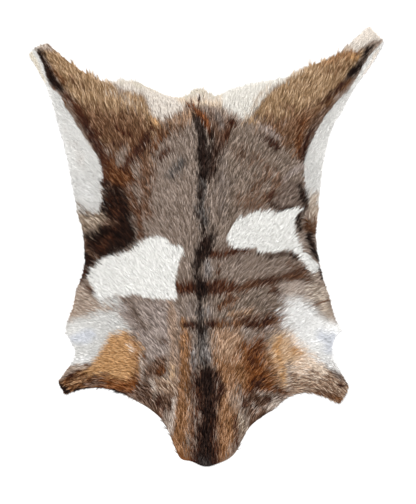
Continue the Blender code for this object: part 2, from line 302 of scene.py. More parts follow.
Tuft = namedtuple("Tuft", "name across along heading length")
TUFTS = (
    Tuft("left leg, first spike", -266, 354, 102, 22),
    Tuft("left leg, second spike", -237, 334, 94, 22),
    Tuft("left leg, third spike", -230, 332, 92, 26),
    Tuft("left leg, fourth spike", -212, 324, 106, 24),
    Tuft("right leg, first spike", 146, 324, 88, 18),
    Tuft("right leg, second spike", 174, 333, 86, 20),
    Tuft("right leg, third spike", 184, 336, 86, 22),
    Tuft("right leg, fourth spike", 197, 342, 90, 22),
    Tuft("right leg, fifth spike", 208, 350, 91, 28),
    Tuft("right leg, sixth spike", 230, 357, 88, 22),
    Tuft("right leg, seventh spike", 262, 371, 84, 20),
    Tuft("left flank curl", -197, 118, 138, 19),
    Tuft("tail fan, left", -24, 270, 128, 28),
    Tuft("tail fan, middle", -20, 276, 112, 24),
    Tuft("tail fan, right", -16, 276, 96, 24),
    Tuft("tail swirl, root", 7, 206, 92, 20),
    Tuft("tail swirl, low", 7, 216, 97, 20),
    Tuft("tail swirl, bend", 5, 228, 106, 20),
    Tuft("tail swirl, middle", 1, 240, 118, 20),
    Tuft("tail swirl, high", -6, 251, 130, 20),
    Tuft("tail swirl, top", -15, 261, 139, 20),
    Tuft("tail swirl, tip", -24, 269, 144, 20),
)

# From the look of hair in the pile to its paint

GLOSS = 0.005  # what a hair's gloss adds to its colour
DARK_SHOWN = 0.83  # how much of a dark hair's paint the pile shows
WHITE_SHOWN = 1.08  # white hairs pass light on to each other
WHITENING = 0.3  # paint starts to count as white here
WHITENING_SPAN = 0.45
LEAST_PAINT = 0.35  # the share of its look that the gloss always leaves to the paint
LIGHTEST_PAINT = 0.955
CONTRAST = 0.14  # the power of a shade's contrast by which its paint has more, as the pile blurs it
PLAIN_RATIO = 1.5  # hair whose light is closer than this to its dark isn't mixed
PLAIN_CONTRAST = -0.05

# The coat's colours, as its light and its dark hairs look in the pile

Shade = namedtuple("Shade", "name light dark words")
SHADES = (
    Shade("taupe", "#9C8F86", "#6D5E53", "the back's grey-brown hair"),
    Shade("warm_taupe", "#9C8E83", "#625449", "the right side of the back"),
    Shade("pale_taupe", "#B2A69F", "#7C6F68", "the left shoulder blade"),
    Shade("grey", "#968A82", "#655952", "grey hair beside the dark spine"),
    Shade("slate", "#6E6965", "#423C39", "blue-grey hair along the spine"),
    Shade("black", "#362923", "#1B110D", "the spine's near-black hair"),
    Shade("black_slate", "#423935", "#221B18", "the loin's dark line"),
    Shade("umber", "#38261E", "#1A0D08", "the darkest flank hair"),
    Shade("dark_taupe", "#5A4C44", "#281C15", "smoky patches on the right flank"),
    Shade("dark_brown", "#563F33", "#2D1B14", "the bars beside the spine"),
    Shade("brown", "#624635", "#361D11", "dark brown bands"),
    Shade("bar_brown", "#725848", "#40281C", "the right side of the first bar"),
    Shade("tan_brown", "#846958", "#4C3426", "the left ribs and arm"),
    Shade("chestnut", "#8C705B", "#523827", "the lower haunches"),
    Shade("rust_brown", "#8C6C54", "#553622", "rusty brown streaks"),
    Shade("rust", "#7C5C45", "#412413", "rusty bands and streaks"),
    Shade("russet_brown", "#8A664D", "#462614", "the right shoulder"),
    Shade("russet", "#946A4C", "#562E18", "orange-brown hair of neck and arms"),
    Shade("orange_brown", "#A38269", "#68452A", "the orange column of the neck"),
    Shade("swirl", "#80543A", "#382013", "the long hairs of the tail swirl"),
    Shade("tan", "#C1A98E", "#7D6246", "the haunches"),
    Shade("golden_tan", "#B29372", "#76543A", "the legs' inner edges"),
    Shade("ochre", "#BEA38D", "#80634C", "the right of the neck"),
    Shade("golden", "#CCA77E", "#A37C53", "the left arm's golden hair"),
    Shade("pale_golden", "#DEC5AC", "#B29474", "the right arm's golden hair"),
    Shade("fawn", "#D1C4B8", "#8D7B6D", "the elbows' light brown hair"),
    Shade("pale_fawn", "#D4CABE", "#968677", "the right flank's tan hair"),
    Shade("mottled", "#D5C2AF", "#755B49", "the forelegs and armpits"),
    Shade("mottled_brown", "#8E7A6E", "#443025", "the neck's right edge"),
    Shade("pinkish", "#F2E7DD", "#D2BAA3", "pinkish hair of the right arm"),
    Shade("cream_tan", "#EEDECD", "#D3C2B0", "the right foreleg's root"),
    Shade("grizzled", "#CEC3B9", "#94857A", "grey hair with white tips"),
    Shade("cream", "#E0D9D0", "#D4CBC1", "the rump's cream hair"),
    Shade("pale_cream", "#ECE8E1", "#E0DCD4", "the right rump's cream hair"),
    Shade("warm_cream", "#E6D9C9", "#CBB7A0", "cream hair round the tail"),
    Shade("belly_white", "#D6D4D1", "#CCCBC8", "the belly"),
    # grey_white also gives the painted shade of a fold in the left belly strip.
    Shade("grey_white", "#C4C0BC", "#AAA6A2", "grey skin seen through the belly's hair"),
    Shade("bluish_white", "#C8C9CD", "#BBBDC2", "thin hair over grey skin"),
    Shade("elbow_white", "#F1F0EE", "#E4E3E1", "the right elbow"),
    Shade("white", "#F1F0ED", "#E3E2DE", "the white patches of the saddle"),
    Shade("smoke", "#8E8178", "#5D4E45", "smoky grey-brown patches"),
    Shade("beige", "#CEC7BA", "#BCB4A6", "the dried edge of shanks and rump"),
    Shade("fuzz", "#CABCAD", "#655445", "fuzzy hair at the rim"),
    Shade("slate_grey", "#9C9591", "#645D5A", "the grey patch of the withers"),
    Shade("pale_column", "#AD9787", "#786353", "the pale column of the neck"),
    Shade("mottled_tan", "#A8896E", "#482A19", "the left foreleg"),
    Shade("swirl_light", "#8E5E41", "#4E2E1C", "the tail swirl's lightest hairs"),
    Shade("amber", "#B28963", "#704E33", "the orange column's brightest hair"),
)

# The coat's markings, painted one over the other. A patch is an outline, whose points hold across and
# along. A streak is a path, whose steps hold across, along and half its width there, which is below zero
# where only the soft edge is left. Soft is the width of the mixed hair at the edge.

Patch = namedtuple("Patch", "name shade soft points")
Streak = namedtuple("Streak", "name shade soft steps")
Step = namedtuple("Step", "across along half")
MARKINGS = (
    # the back
    Patch("right side of the back", "warm_taupe", 44, (
        (15, 253), (87, 245), (167, 213), (195, 153), (187, 93), (167, 81), (111, 81), (67, 65), (43, 21),
        (15, 13))),
    Streak("right side of the back, grey spot", "taupe", 24, ((60, 209, 0), (70, 201, 2), (82, 193, 0))),
    Streak("right back, brown hairs", "tan_brown", 70, (
        (56, 190, 0), (104, 176, -3), (132, 150, -2), (100, 110, 2))),
    Patch("left shoulder blade", "pale_taupe", 34, (
        (-200, -107), (-77, -109), (-60, -125), (-64, -180), (-74, -215), (-98, -240), (-118, -228),
        (-133, -200), (-150, -180), (-166, -160), (-172, -135), (-190, -118))),
    Streak("left shoulder blade, smoky", "smoke", 34, (
        (-158, -108, 7), (-146, -128, 10), (-136, -146, 11), (-120, -158, 6))),
    Streak("left ribs, warm", "tan_brown", 34, (
        (-104, 214, 5), (-118, 190, 13), (-122, 160, 17), (-122, 125, 13), (-124, 90, 7), (-118, 56, 4))),
    Streak("right back, brownish", "tan_brown", 44, ((64, 98, 5), (84, 90, 9), (106, 82, 9))),
    Streak("right back, grey", "grey", 50, ((32, 190, 3), (32, 120, 6), (30, 60, 3))),
    # the left haunch
    Patch("left haunch", "tan", 20, (
        (-337, 393), (-284, 392), (-236, 370), (-178, 344), (-177, 311), (-151, 309), (-125, 301),
        (-115, 283), (-107, 265), (-94, 252), (-84, 236), (-104, 214), (-160, 190), (-213, 205),
        (-240, 240), (-261, 285), (-285, 317), (-309, 353), (-325, 377))),
    Patch("left haunch, low", "chestnut", 40, (
        (-288, 308), (-258, 284), (-225, 280), (-190, 273), (-160, 274), (-135, 268), (-116, 248),
        (-98, 236), (-110, 214), (-128, 196), (-150, 180), (-172, 176), (-190, 186), (-205, 200),
        (-228, 215), (-252, 250), (-270, 280))),
    Streak("left haunch, light hairs", "cream", 60, ((-194, 308, -14), (-163, 295, -11), (-132, 284, -14))),
    Streak("left of the tail, tan", "ochre", 24, ((-27, 263, 12), (-52, 255, 11), (-68, 248, 9))),
    Streak("left of the tail", "chestnut", 28, (
        (-46, 243, 3), (-60, 236, 8), (-86, 230, 13), (-100, 216, 7), (-112, 196, 5))),
    Streak("left of the tail, rusty", "rust", 20, ((-84, 222, 2), (-98, 206, 5), (-112, 190, 5))),
    Patch("left flank, rusty", "rust", 26, (
        (-212, 172), (-190, 184), (-168, 174), (-150, 158), (-144, 132), (-158, 106), (-200, 106),
        (-210, 140))),
    Streak("left flank, tan spot", "ochre", 24, ((-118, 190, 0), (-113, 178, 1), (-110, 164, 0))),
    Patch("left flank, dark", "umber", 26, (
        (-208, 122), (-186, 124), (-162, 112), (-150, 92), (-144, 67), (-140, 44), (-132, 26), (-140, 6),
        (-158, -8), (-190, -22), (-217, -32), (-236, -48), (-248, -70), (-264, -64), (-264, 30), (-244, 35),
        (-229, 40), (-219, 60), (-212, 80), (-209, 100))),
    Streak("left flank, brown hairs", "brown", 44, (
        (-192, 96, -4), (-176, 60, -4), (-196, 12, -2), (-226, -22, -2))),
    Streak("left flank, brown edge", "bar_brown", 22, (
        (-152, 112, 5), (-138, 78, 10), (-134, 50, 10), (-129, 24, 5))),
    Streak("left haunch, dark edge", "brown", 26, (
        (-282, 303, 6), (-265, 283, 5), (-250, 262, 10), (-236, 240, 13), (-222, 218, 12), (-213, 196, 10),
        (-207, 172, 8), (-203, 148, 6), (-203, 130, 5))),
    Streak("left haunch, darkest edge", "dark_brown", 14, (
        (-247, 250, 6), (-234, 229, 7), (-224, 208, 6), (-216, 186, 4))),
    Streak("rusty band", "rust", 24, (
        (-106, 242, 5), (-116, 222, 9), (-126, 207, 12), (-141, 190, 12), (-154, 170, 12), (-168, 156, 11),
        (-186, 143, 8))),
    Streak("rusty band, dark", "dark_brown", 16, (
        (-110, 234, 2), (-121, 211, 8), (-134, 196, 6), (-146, 180, 5), (-155, 167, 6), (-165, 156, 2))),
    Streak("grey beside the rusty band", "taupe", 13, ((-158, 203, 3), (-167, 186, 6), (-178, 165, 5))),
    Streak("left haunch, dark tufts", "brown", 17, ((-178, 238, 2), (-162, 223, 5), (-146, 217, 3))),
    Streak("left haunch, brown top", "chestnut", 20, ((-273, 337, 0), (-259, 327, 3), (-246, 318, 0))),
    Streak("left haunch, pale rim", "warm_cream", 16, ((-226, 345, 0), (-199, 332, 4), (-178, 330, 2))),
    Streak("left haunch, dark spot", "dark_brown", 16, ((-186, 204, 3), (-173, 205, 7), (-160, 210, 3))),
    Streak("left haunch, golden spot", "golden", 9, ((-105, 257, 2), (-100, 246, 4))),
    Streak("left back, dark spot", "brown", 14, ((-94, 178, 5), (-83, 186, 8), (-74, 193, 5))),
    Streak("left back, grey spot", "slate", 30, ((-68, 148, 8), (-55, 160, 10), (-46, 174, 5))),
    Patch("left flank, fuzz", "fuzz", 18, (
        (-272, 104), (-250, 98), (-234, 80), (-214, 64), (-203, 62), (-200, 50), (-216, 37), (-238, 27),
        (-264, 22))),
    Streak("left flank, light spot", "mottled_brown", 12, ((-206, 45, 4), (-194, 48, 6), (-182, 47, 4))),
    # the left shank
    Streak("left shank, grizzled tip", "fawn", 11, ((-333, 396, 5), (-321, 402, 6), (-311, 395, 4))),
    Streak("left shank, rust", "rust_brown", 14, ((-314, 364, 3), (-301, 347, 5), (-284, 327, 4))),
    Streak("left shank, black", "umber", 13, (
        (-337, 392, 4), (-328, 377, 7), (-321, 358, 8), (-314, 341, 9), (-304, 326, 9), (-294, 316, 6))),
    Streak("left shank, white tip", "cream", 8, ((-340, 393, 1), (-332, 401, 2), (-322, 405, 1))),
    Streak("left shank, rusty edge", "rust_brown", 5, ((-305, 316, 2), (-293, 300, 3), (-281, 284, 2))),
    Patch("left belly strip", "belly_white", 3, (
        (-342, 391), (-333, 376), (-326, 365), (-322, 348), (-318, 332), (-310, 316), (-296, 307),
        (-288, 294), (-282, 278), (-267, 259), (-262, 245), (-249, 227), (-238, 210), (-227, 194),
        (-216, 176), (-209, 154), (-207, 138), (-211, 117), (-210, 98), (-212, 82), (-216, 67), (-238, 62),
        (-270, 60), (-300, 60), (-310, 190), (-335, 290), (-370, 380), (-352, 402))),
    Patch("belly strip, lower end", "fuzz", 40, (
        (-292, 72), (-262, 76), (-242, 73), (-226, 66), (-216, 52), (-222, 34), (-246, 26), (-292, 26))),
    Streak("left shank, beige edge", "beige", 12, ((-352, 384, 5), (-338, 358, 6), (-326, 334, 5))),
    Streak("belly strip, dark hair", "umber", 3, ((-194, 126, 5), (-206, 125, 2.5), (-213, 130, 0.5))),
    Streak("belly strip, grey spot", "grey_white", 9, ((-279, 210, 1), (-274, 208, 1.5))),
    # Painted shade: a grey line where the left belly strip has a fold, as the skin lies flat here.
    Streak("belly strip, grey fold", "grey_white", 8, ((-284, 238, 0.5), (-281, 228, 0.5))),
    Streak("belly strip, grey middle", "grey_white", 34, ((-262, 206, 1), (-253, 182, 5), (-249, 160, 1))),
    Streak("belly strip, white end", "elbow_white", 34, ((-248, 134, 0), (-238, 110, 5), (-232, 92, 1))),
    # the rump
    Patch("rump, left, cream", "cream", 14, (
        (-196, 331), (-176, 314), (-151, 309), (-128, 304), (-118, 292), (-113, 275), (-103, 261),
        (-89, 254), (-77, 260), (-57, 270), (-43, 281), (-36, 297), (-53, 318), (-73, 330), (-113, 345),
        (-163, 345))),
    Streak("rump, left, rim", "beige", 12, (
        (-172, 328, 3), (-152, 328, 5), (-130, 322, 5), (-106, 314, 4), (-84, 305, 2))),
    Patch("rump, middle, cream", "warm_cream", 12, (
        (-66, 322), (-60, 296), (-44, 284), (-29, 281), (-17, 281), (-3, 280), (13, 277), (31, 275),
        (40, 290), (36, 320), (-3, 335), (-23, 330))),
    Streak("rump, middle, light", "cream", 16, ((-40, 298, 3), (-26, 302, 4), (24, 296, 4))),
    Streak("rump, middle, rim", "beige", 10, (
        (-56, 300, 4), (-44, 301, 5), (-32, 306, 5), (-18, 313, 5), (2, 306, 5), (16, 301, 5),
        (30, 306, 5))),
    Patch("right haunch", "tan", 20, (
        (86, 262), (109, 294), (128, 311), (149, 331), (166, 352), (192, 370), (222, 388), (252, 402),
        (277, 401), (291, 393), (311, 393), (327, 401), (319, 381), (303, 361), (283, 337), (263, 309),
        (239, 280), (211, 240), (187, 238), (155, 245), (123, 243), (95, 240), (74, 246))),
    Streak("right haunch, pale rim", "cream", 22, (
        (226, 382, 0), (247, 388, 3), (271, 394, 5), (288, 394, 0))),
    Streak("right haunch, pale root", "warm_cream", 16, ((171, 340, 2), (185, 349, 3), (200, 359, 0))),
    Patch("right haunch, low", "chestnut", 38, (
        (104, 254), (140, 260), (180, 270), (214, 286), (244, 302), (234, 272), (217, 237), (204, 204),
        (196, 176), (180, 182), (160, 198), (140, 210), (120, 228), (104, 240))),
    Streak("right haunch, brown root", "chestnut", 16, ((106, 260, 2), (118, 257, 5), (132, 258, 2))),
    Streak("right haunch, brown spot", "chestnut", 16, ((150, 280, 3), (163, 277, 7), (177, 276, 4))),
    Streak("right haunch, light hairs", "pale_golden", 30, (
        (190, 323, -6), (203, 319, -4), (216, 312, -6))),
    Patch("rump, right, cream", "pale_cream", 12, (
        (31, 310), (32, 279), (43, 270), (57, 264), (69, 254), (86, 256), (100, 276), (110, 292),
        (122, 306), (136, 318), (150, 327), (159, 333), (170, 341), (160, 352), (137, 360), (87, 345),
        (33, 325))),
    Streak("rump, right, tan fringe", "tan", 26, (
        (83, 259, 0), (98, 289, 0), (112, 309, 0), (128, 321, 0))),
    Streak("right haunch, dark spot", "smoke", 16, ((98, 258, 3), (108, 254, 5))),
    Streak("right haunch, grey", "pale_taupe", 15, ((104, 243, 2), (118, 234, 4), (141, 216, 3))),
    Streak("right haunch, dark tufts", "dark_brown", 14, (
        (110, 222, 2), (120, 214, 6), (139, 200, 6), (150, 194, 2))),
    Streak("right haunch, rusty", "russet_brown", 24, (
        (190, 254, 4), (190, 230, 7), (187, 206, 8), (187, 186, 4))),
    Streak("right haunch, smoky edge", "mottled_brown", 14, (
        (246, 281, 5), (232, 263, 6), (219, 245, 7), (210, 232, 5))),
    Streak("right haunch, dark edge", "dark_brown", 12, (
        (216, 240, 3), (208, 226, 6), (199, 208, 7), (195, 190, 7), (194, 170, 4))),
    # the right shank
    Streak("right leg, golden", "golden_tan", 18, (
        (230, 362, 4), (254, 374, 6), (276, 384, 8), (298, 386, 8))),
    Streak("right leg, brown under the gold", "rust_brown", 18, (
        (238, 348, 3), (256, 353, 4), (270, 358, 4), (286, 362, 3))),
    Streak("right haunch, rust below the shank", "rust_brown", 18, (
        (237, 289, 5), (256, 304, 8), (272, 319, 9), (287, 334, 8))),
    Streak("right haunch, dark rust below the shank", "dark_brown", 14, (
        (229, 287, 2), (246, 301, 5), (263, 314, 6), (278, 328, 4))),
    Streak("right shank, grizzled", "fawn", 11, ((338, 408, 3), (327, 396, 6), (316, 382, 5))),
    Streak("right shank, golden spot", "golden", 12, ((288, 378, 2), (298, 376, 5), (307, 377, 2))),
    Streak("right shank, black", "black", 15, (
        (335, 405, 1), (324, 393, 5), (315, 378, 6), (301, 358, 8), (289, 344, 9), (281, 335, 5))),
    Patch("right shank, cream tip", "cream", 8, (
        (290, 396), (275, 410), (299, 430), (325, 450), (343, 434), (362, 415), (346, 412), (331, 410),
        (319, 404), (309, 397), (298, 389))),
    Patch("right belly strip", "belly_white", 3, (
        (352, 409), (325, 380), (313, 361), (304, 342), (295, 329), (284, 312), (265, 295), (252, 278),
        (238, 262), (227, 243), (216, 221), (205, 200), (197, 178), (195, 152), (196, 132), (196.5, 116),
        (200, 92), (216, 80), (262, 80), (272, 160), (310, 260), (350, 330), (395, 400), (366, 425))),
    Patch("right belly strip, lower end", "pale_fawn", 42, (
        (198, 96), (212, 94), (228, 90), (262, 88), (262, 50), (205, 50))),
    Streak("right belly strip, beige edge", "cream", 7, ((343, 390, 2), (328, 364, 2), (311, 336, 1.5))),
    # the right flank
    Patch("right flank, smoky", "smoke", 14, (
        (153, 121), (167, 133), (187, 137), (197, 120), (196, 92), (184, 80), (160, 80), (139, 77),
        (130, 88), (139, 103))),
    Streak("right flank, light band", "pale_taupe", 11, (
        (194, 160, 4), (178, 152, 5), (160, 140, 4), (148, 124, 3))),
    Streak("right back, rust", "tan_brown", 28, (
        (148, 142, 2), (141, 126, 6), (131, 106, 8), (116, 96, 5), (98, 92, 3))),
    Streak("right back, dark rust", "dark_brown", 16, ((134, 114, 4), (130, 101, 6), (128, 89, 4))),
    Streak("right flank, charcoal", "dark_taupe", 9, (
        (133, 82, 4), (146, 75, 6), (160, 75, 4), (175, 81, 2))),
    Streak("right flank, black", "umber", 10, ((187, 123, 5), (192, 108, 8), (195, 92, 8), (198, 78, 5))),
    Streak("right flank, fawn fuzz", "pale_fawn", 14, (
        (214, 101, 5), (215, 86, 8), (216, 68, 8), (217, 52, 6))),
    # the tail
    Patch("right of the tail", "mottled_brown", 14, (
        (4, 276), (24, 276), (40, 266), (54, 255), (54, 236), (44, 212), (24, 196), (13, 190), (10, 215),
        (8, 250))),
    Streak("right of the tail, pale rim", "fawn", 14, ((14, 274, 2), (36, 265, 6), (56, 256, 5))),
    Streak("right of the tail, grey", "grey", 13, ((17, 268, 3), (25, 254, 6), (30, 240, 5))),
    Streak("right of the tail, rust", "brown", 11, ((46, 254, 3), (55, 246, 6))),
    Streak("right of the tail, dark curve", "brown", 18, (
        (10, 186, 7), (24, 200, 9), (36, 216, 8), (44, 232, 4))),
    # the spine
    Streak("right of the spine, brown", "dark_taupe", 26, (
        (28, 210, 6), (20, 196, 11), (14, 176, 13), (9, 156, 12), (4, 132, 8))),
    Streak("spine, loin", "black_slate", 14, (
        (-25, 262, 1), (-19, 246, 5), (-14, 228, 9), (-8, 205, 13), (-5, 186, 13), (-5, 165, 11),
        (-6, 145, 13), (-9, 122, 9))),
    Streak("spine, loin, core", "black", 14, ((-7, 214, 4), (-5, 188, 7), (-5, 165, 7), (-7, 140, 5))),
    Streak("spine, ribs", "slate", 22, (
        (-8, 122, 9), (-10, 100, 10), (-10, 80, 11), (-7, 60, 12), (-5, 40, 10))),
    Streak("spine, ribs, core", "black_slate", 15, ((-9, 118, 4), (-13, 96, 4), (-14, 80, 3))),
    Streak("spine, ribs, dark line", "black_slate", 6, (
        (-23, 70, 1.5), (-15, 58, 3), (-8, 46, 3.5), (-4, 30, 5))),
    Streak("spine, dark band to the right", "brown", 15, (
        (4, -14, 10), (24, -16, 10), (46, -13, 8), (62, -9, 6), (84, -6, 3))),
    Streak("spine, grey gap", "slate_grey", 13, ((3, -34, 7), (3, -46, 10), (0, -60, 7))),
    Streak("spine, blot", "black", 22, (
        (14, 36, 3), (9, 20, 11), (0, 4, 17), (-9, -10, 15), (-14, -24, 10), (-18, -36, 6))),
    Streak("spine, beside the gap", "black_slate", 13, ((-19, -34, 6), (-21, -48, 5), (-18, -62, 8))),
    Streak("spine, rusty spots", "rust", 9, ((25, -38, 2.5), (24, -54, 3.5))),
    Streak("spine, dark spot", "dark_taupe", 8, ((66, -20, 2.5), (65, -31, 3))),
    Streak("right patch, dark lower edge", "dark_taupe", 9, (
        (100, -12, 2), (128, -19, 5), (148, -14, 3), (165, -13, 3), (179, -23, 5))),
    # the bars
    Patch("right saddle", "warm_taupe", 30, (
        (3, -95), (67, -87), (127, -79), (163, -67), (163, -91), (149, -119), (147, -143), (111, -151),
        (57, -147), (3, -147))),
    Streak("right saddle, smoky", "smoke", 26, ((98, -103, 1), (118, -108, 3), (133, -116, 1))),
    Streak("right saddle, brown under the patch", "bar_brown", 28, (
        (164, -37, 1), (182, -43, 7), (193, -52, 3))),
    Streak("first bar, left", "brown", 16, ((-58, -83, 12), (-40, -83, 14), (-22, -83, 15))),
    Streak("first bar, right, thin", "bar_brown", 15, (
        (44, -84, 10), (70, -83, 9), (96, -76, 9), (116, -70, 9), (141, -66, 8), (162, -59, 9),
        (186, -56, 8), (199, -45, 4))),
    Streak("first bar, right", "brown", 17, ((-2, -81, 16), (20, -82, 15), (38, -82, 14), (56, -83, 9))),
    Streak("first bar, dark", "dark_brown", 14, ((2, -80, 8), (20, -84, 5), (36, -81, 1))),
    Streak("first bar, dark spots", "dark_brown", 11, ((110, -70, 4), (124, -69, 5), (145, -65, 4))),
    Streak("first bar, dark end", "dark_brown", 9, ((161, -56, 3), (178, -52, 3), (188, -53, 4))),
    Streak("first bar, knot", "black", 13, ((-16, -66, 10), (-10, -82, 16), (-11, -96, 11))),
    Streak("first bar, right end", "brown", 4, ((185, -64, 1.5), (206, -66, 1.5), (228, -60, 2))),
    Streak("between the bars, rust", "rust", 22, ((22, -119, 6), (38, -114, 10), (50, -104, 8))),
    Streak("between the bars, dark rust", "dark_brown", 14, ((37, -113, 1), (48, -106, 2))),
    Streak("between the bars, spot", "brown", 18, ((135, -87, 4), (144, -94, 6))),
    Streak("between the bars, grey left", "grey", 20, ((-32, -106, 6), (-32, -124, 9), (-34, -140, 7))),
    Streak("between the bars, grey right", "slate_grey", 18, ((5, -119, 2), (5, -126, 7), (5, -138, 7))),
    Streak("between the bars, brown root", "dark_taupe", 16, ((4, -107, 0), (10, -113, 3), (17, -119, 0))),
    Streak("between the bars, pale", "ochre", 26, ((52, -136, 5), (84, -133, 6))),
    Streak("second bar, right", "rust", 26, (
        (-2, -155, 10), (28, -156, 10), (58, -157, 10), (84, -156, 14), (104, -155, 16), (126, -151, 15),
        (149, -143, 12), (158, -152, 8))),
    Streak("second bar, dark", "dark_brown", 24, (
        (70, -156, 3), (90, -154, 9), (110, -151, 10), (130, -145, 7), (147, -140, 2))),
    # the right of the neck, and the right arm
    Patch("right of the neck", "ochre", 28, (
        (12, -162), (66, -162), (78, -188), (74, -228), (65, -262), (61, -300), (66, -347), (59, -387),
        (39, -415), (19, -424), (15, -347), (20, -297), (15, -247), (12, -207))),
    Patch("right of the neck, low", "orange_brown", 32, (
        (12, -216), (36, -224), (54, -250), (50, -280), (47, -310), (60, -330), (64, -367), (55, -403),
        (31, -432), (14, -424), (18, -357), (26, -300), (22, -250))),
    Streak("second bar, dark root", "dark_brown", 13, ((-2, -155, 8), (15, -156, 6), (28, -157, 2))),
    Streak("second bar, rusty line", "rust_brown", 10, ((24, -155, 2), (46, -156, 3.5), (70, -157, 3))),
    Streak("right of the neck, grey", "taupe", 22, ((76, -168, 4), (90, -178, 5), (100, -174, 2))),
    Streak("right of the neck, pale spot", "grizzled", 12, ((76, -165, 3), (82, -169, 4))),
    Patch("right shoulder, brown", "russet", 30, (
        (86, -188), (108, -180), (122, -192), (122, -214), (126, -245), (142, -268), (134, -291),
        (103, -297), (84, -306), (68, -294), (58, -262), (58, -222), (70, -196))),
    Streak("right shoulder, gold", "orange_brown", 22, (
        (70, -212, 4), (67, -234, 9), (69, -258, 14), (73, -282, 6))),
    Streak("right shoulder, pale spot", "pale_taupe", 12, ((120, -163, 3), (130, -164, 4))),
    Streak("right shoulder, dark", "brown", 34, ((110, -194, 2), (98, -214, 8), (90, -238, 4))),
    Streak("right shoulder, dark low", "dark_brown", 20, (
        (113, -265, 4), (101, -276, 8), (94, -292, 8), (89, -306, 4))),
    Patch("right arm, pinkish", "pinkish", 20, (
        (156, -164), (184, -168), (208, -190), (226, -212), (244, -238), (218, -252), (190, -252),
        (170, -242), (172, -210))),
    Patch("right arm, golden", "pale_golden", 26, (
        (126, -188), (141, -172), (158, -172), (172, -186), (176, -204), (188, -216), (186, -228),
        (168, -234), (163, -252), (161, -276), (150, -280), (138, -262), (131, -238), (124, -214))),
    Streak("right arm, orange", "orange_brown", 28, (
        (118, -204, 3), (124, -228, 6), (136, -252, 8), (141, -274, 7))),
    Streak("right arm, gold core", "golden", 16, (
        (146, -182, 3), (138, -200, 6), (142, -218, 6), (152, -240, 5), (156, -264, 4))),
    Streak("right arm, gold spot", "golden", 15, ((174, -206, 5), (188, -214, 6))),
    Streak("right arm, dark rust", "rust", 11, ((137, -286, 4), (150, -290, 6), (163, -295, 4))),
    Streak("right arm, pale streak", "grizzled", 9, ((166, -240, 4), (168, -262, 6), (169, -285, 5))),
    Patch("right elbow, white", "elbow_white", 42, (
        (172, -82), (158, -102), (152, -126), (152, -152), (168, -170), (188, -193), (210, -214),
        (236, -238), (262, -254), (285, -252), (290, -158), (266, -154), (240, -143), (220, -124),
        (198, -94))),
    Patch("right elbow, grizzled", "grizzled", 34, (
        (160, -64), (188, -60), (210, -76), (222, -108), (196, -104), (168, -98), (152, -90))),
    Patch("right elbow, fawn", "pale_fawn", 40, (
        (200, -70), (226, -62), (238, -99), (256, -144), (241, -139), (228, -124), (210, -96))),
    Streak("right elbow, brown hairs", "tan_brown", 22, ((218, -69, 1), (228, -74, 1))),
    Streak("right elbow, pale hairs", "cream_tan", 20, ((237, -92, 0), (234, -112, 1), (238, -128, 0))),
    Streak("first bar, right, tail", "bar_brown", 16, (
        (156, -62, 4), (170, -63, 7), (188, -61, 7), (207, -68, 5))),
    Streak("right elbow, dark line", "tan_brown", 5, ((216, -118, 1), (229, -112, 1.5), (243, -107, 1.5))),
    Streak("right elbow, bluish", "bluish_white", 28, ((232, -178, 11), (250, -187, 15), (243, -208, 9))),
    Patch("right foreleg", "mottled", 16, (
        (199, -256), (211, -242), (233, -240), (253, -250), (270, -261), (294, -272), (288, -295),
        (265, -322), (243, -309), (219, -300), (199, -293))),
    Streak("right foreleg, pale hairs", "cream_tan", 26, ((184, -266, 4), (208, -262, 2), (228, -258, 0))),
    Streak("right foreleg, cream", "cream_tan", 12, ((206, -231, 4), (222, -241, 7), (236, -251, 5))),
    Streak("right foreleg, smoky", "smoke", 8, ((259, -256, 5), (271, -265, 6), (280, -272, 4))),
    Streak("right elbow, white end", "elbow_white", 14, ((220, -225, 4), (236, -228, 6), (250, -239, 5))),
    Streak("right foreleg, brown tip", "dark_brown", 6, ((262, -275, 3), (270, -278, 4), (279, -276, 3))),
    Streak("right foreleg, rust tip", "rust_brown", 9, ((248, -298, 4), (264, -305, 7))),
    Streak("right foreleg, brown edge", "tan_brown", 14, ((218, -292, 2), (234, -294, 5), (248, -300, 4))),
    Patch("right armpit, mottled", "mottled", 12, (
        (168, -244), (199, -252), (212, -268), (206, -284), (187, -293), (164, -294))),
    Streak("right armpit, pinkish", "pinkish", 16, ((178, -248, 5), (198, -252, 5))),
    Patch("right neck edge, mottled", "mottled_brown", 17, (
        (80, -300), (99, -288), (127, -291), (155, -297), (150, -320), (135, -330), (111, -348), (91, -366),
        (79, -335))),
    Streak("right neck edge, white hairs", "grizzled", 11, ((104, -290, 1), (116, -297, 1))),
    Streak("right neck edge, white hairs, middle", "grizzled", 11, ((128, -298, 1), (142, -306, 2))),
    Streak("right neck edge, white hairs, low", "grizzled", 11, ((92, -317, 2), (102, -328, 2))),
    Streak("right neck edge, dark", "dark_brown", 10, ((118, -303, 4), (131, -309, 4))),
    Streak("right neck edge, brown", "brown", 12, ((68, -322, 2), (76, -314, 5), (86, -308, 3))),
    Streak("right neck edge, white rim", "grizzled", 12, ((122, -324, 4), (134, -318, 6), (148, -310, 4))),
    Streak("right neck, pale", "pale_column", 20, ((47, -292, 2), (50, -306, 5), (54, -322, 3))),
    Streak("right neck edge, pale", "fuzz", 14, ((66, -336, 1), (71, -350, 6), (71, -368, 6))),
    Streak("right neck, dark line", "brown", 9, (
        (56, -340, 2), (58, -366, 3), (61, -392, 4), (56, -409, 3))),
    # the neck
    Streak("beside the spine, grey", "taupe", 18, ((-30, -170, 6), (-29, -196, 8))),
    Streak("beside the spine, slate", "slate_grey", 18, ((-28, -208, 6), (-28, -240, 8))),
    Streak("beside the spine, dark", "mottled_brown", 15, ((-31, -260, 4), (-34, -278, 8), (-32, -298, 6))),
    Streak("beside the spine, tan", "tan_brown", 20, (
        (-28, -306, 4), (-30, -340, 8), (-31, -372, 7), (-31, -398, 8), (-30, -420, 6))),
    Streak("orange column", "orange_brown", 20, (
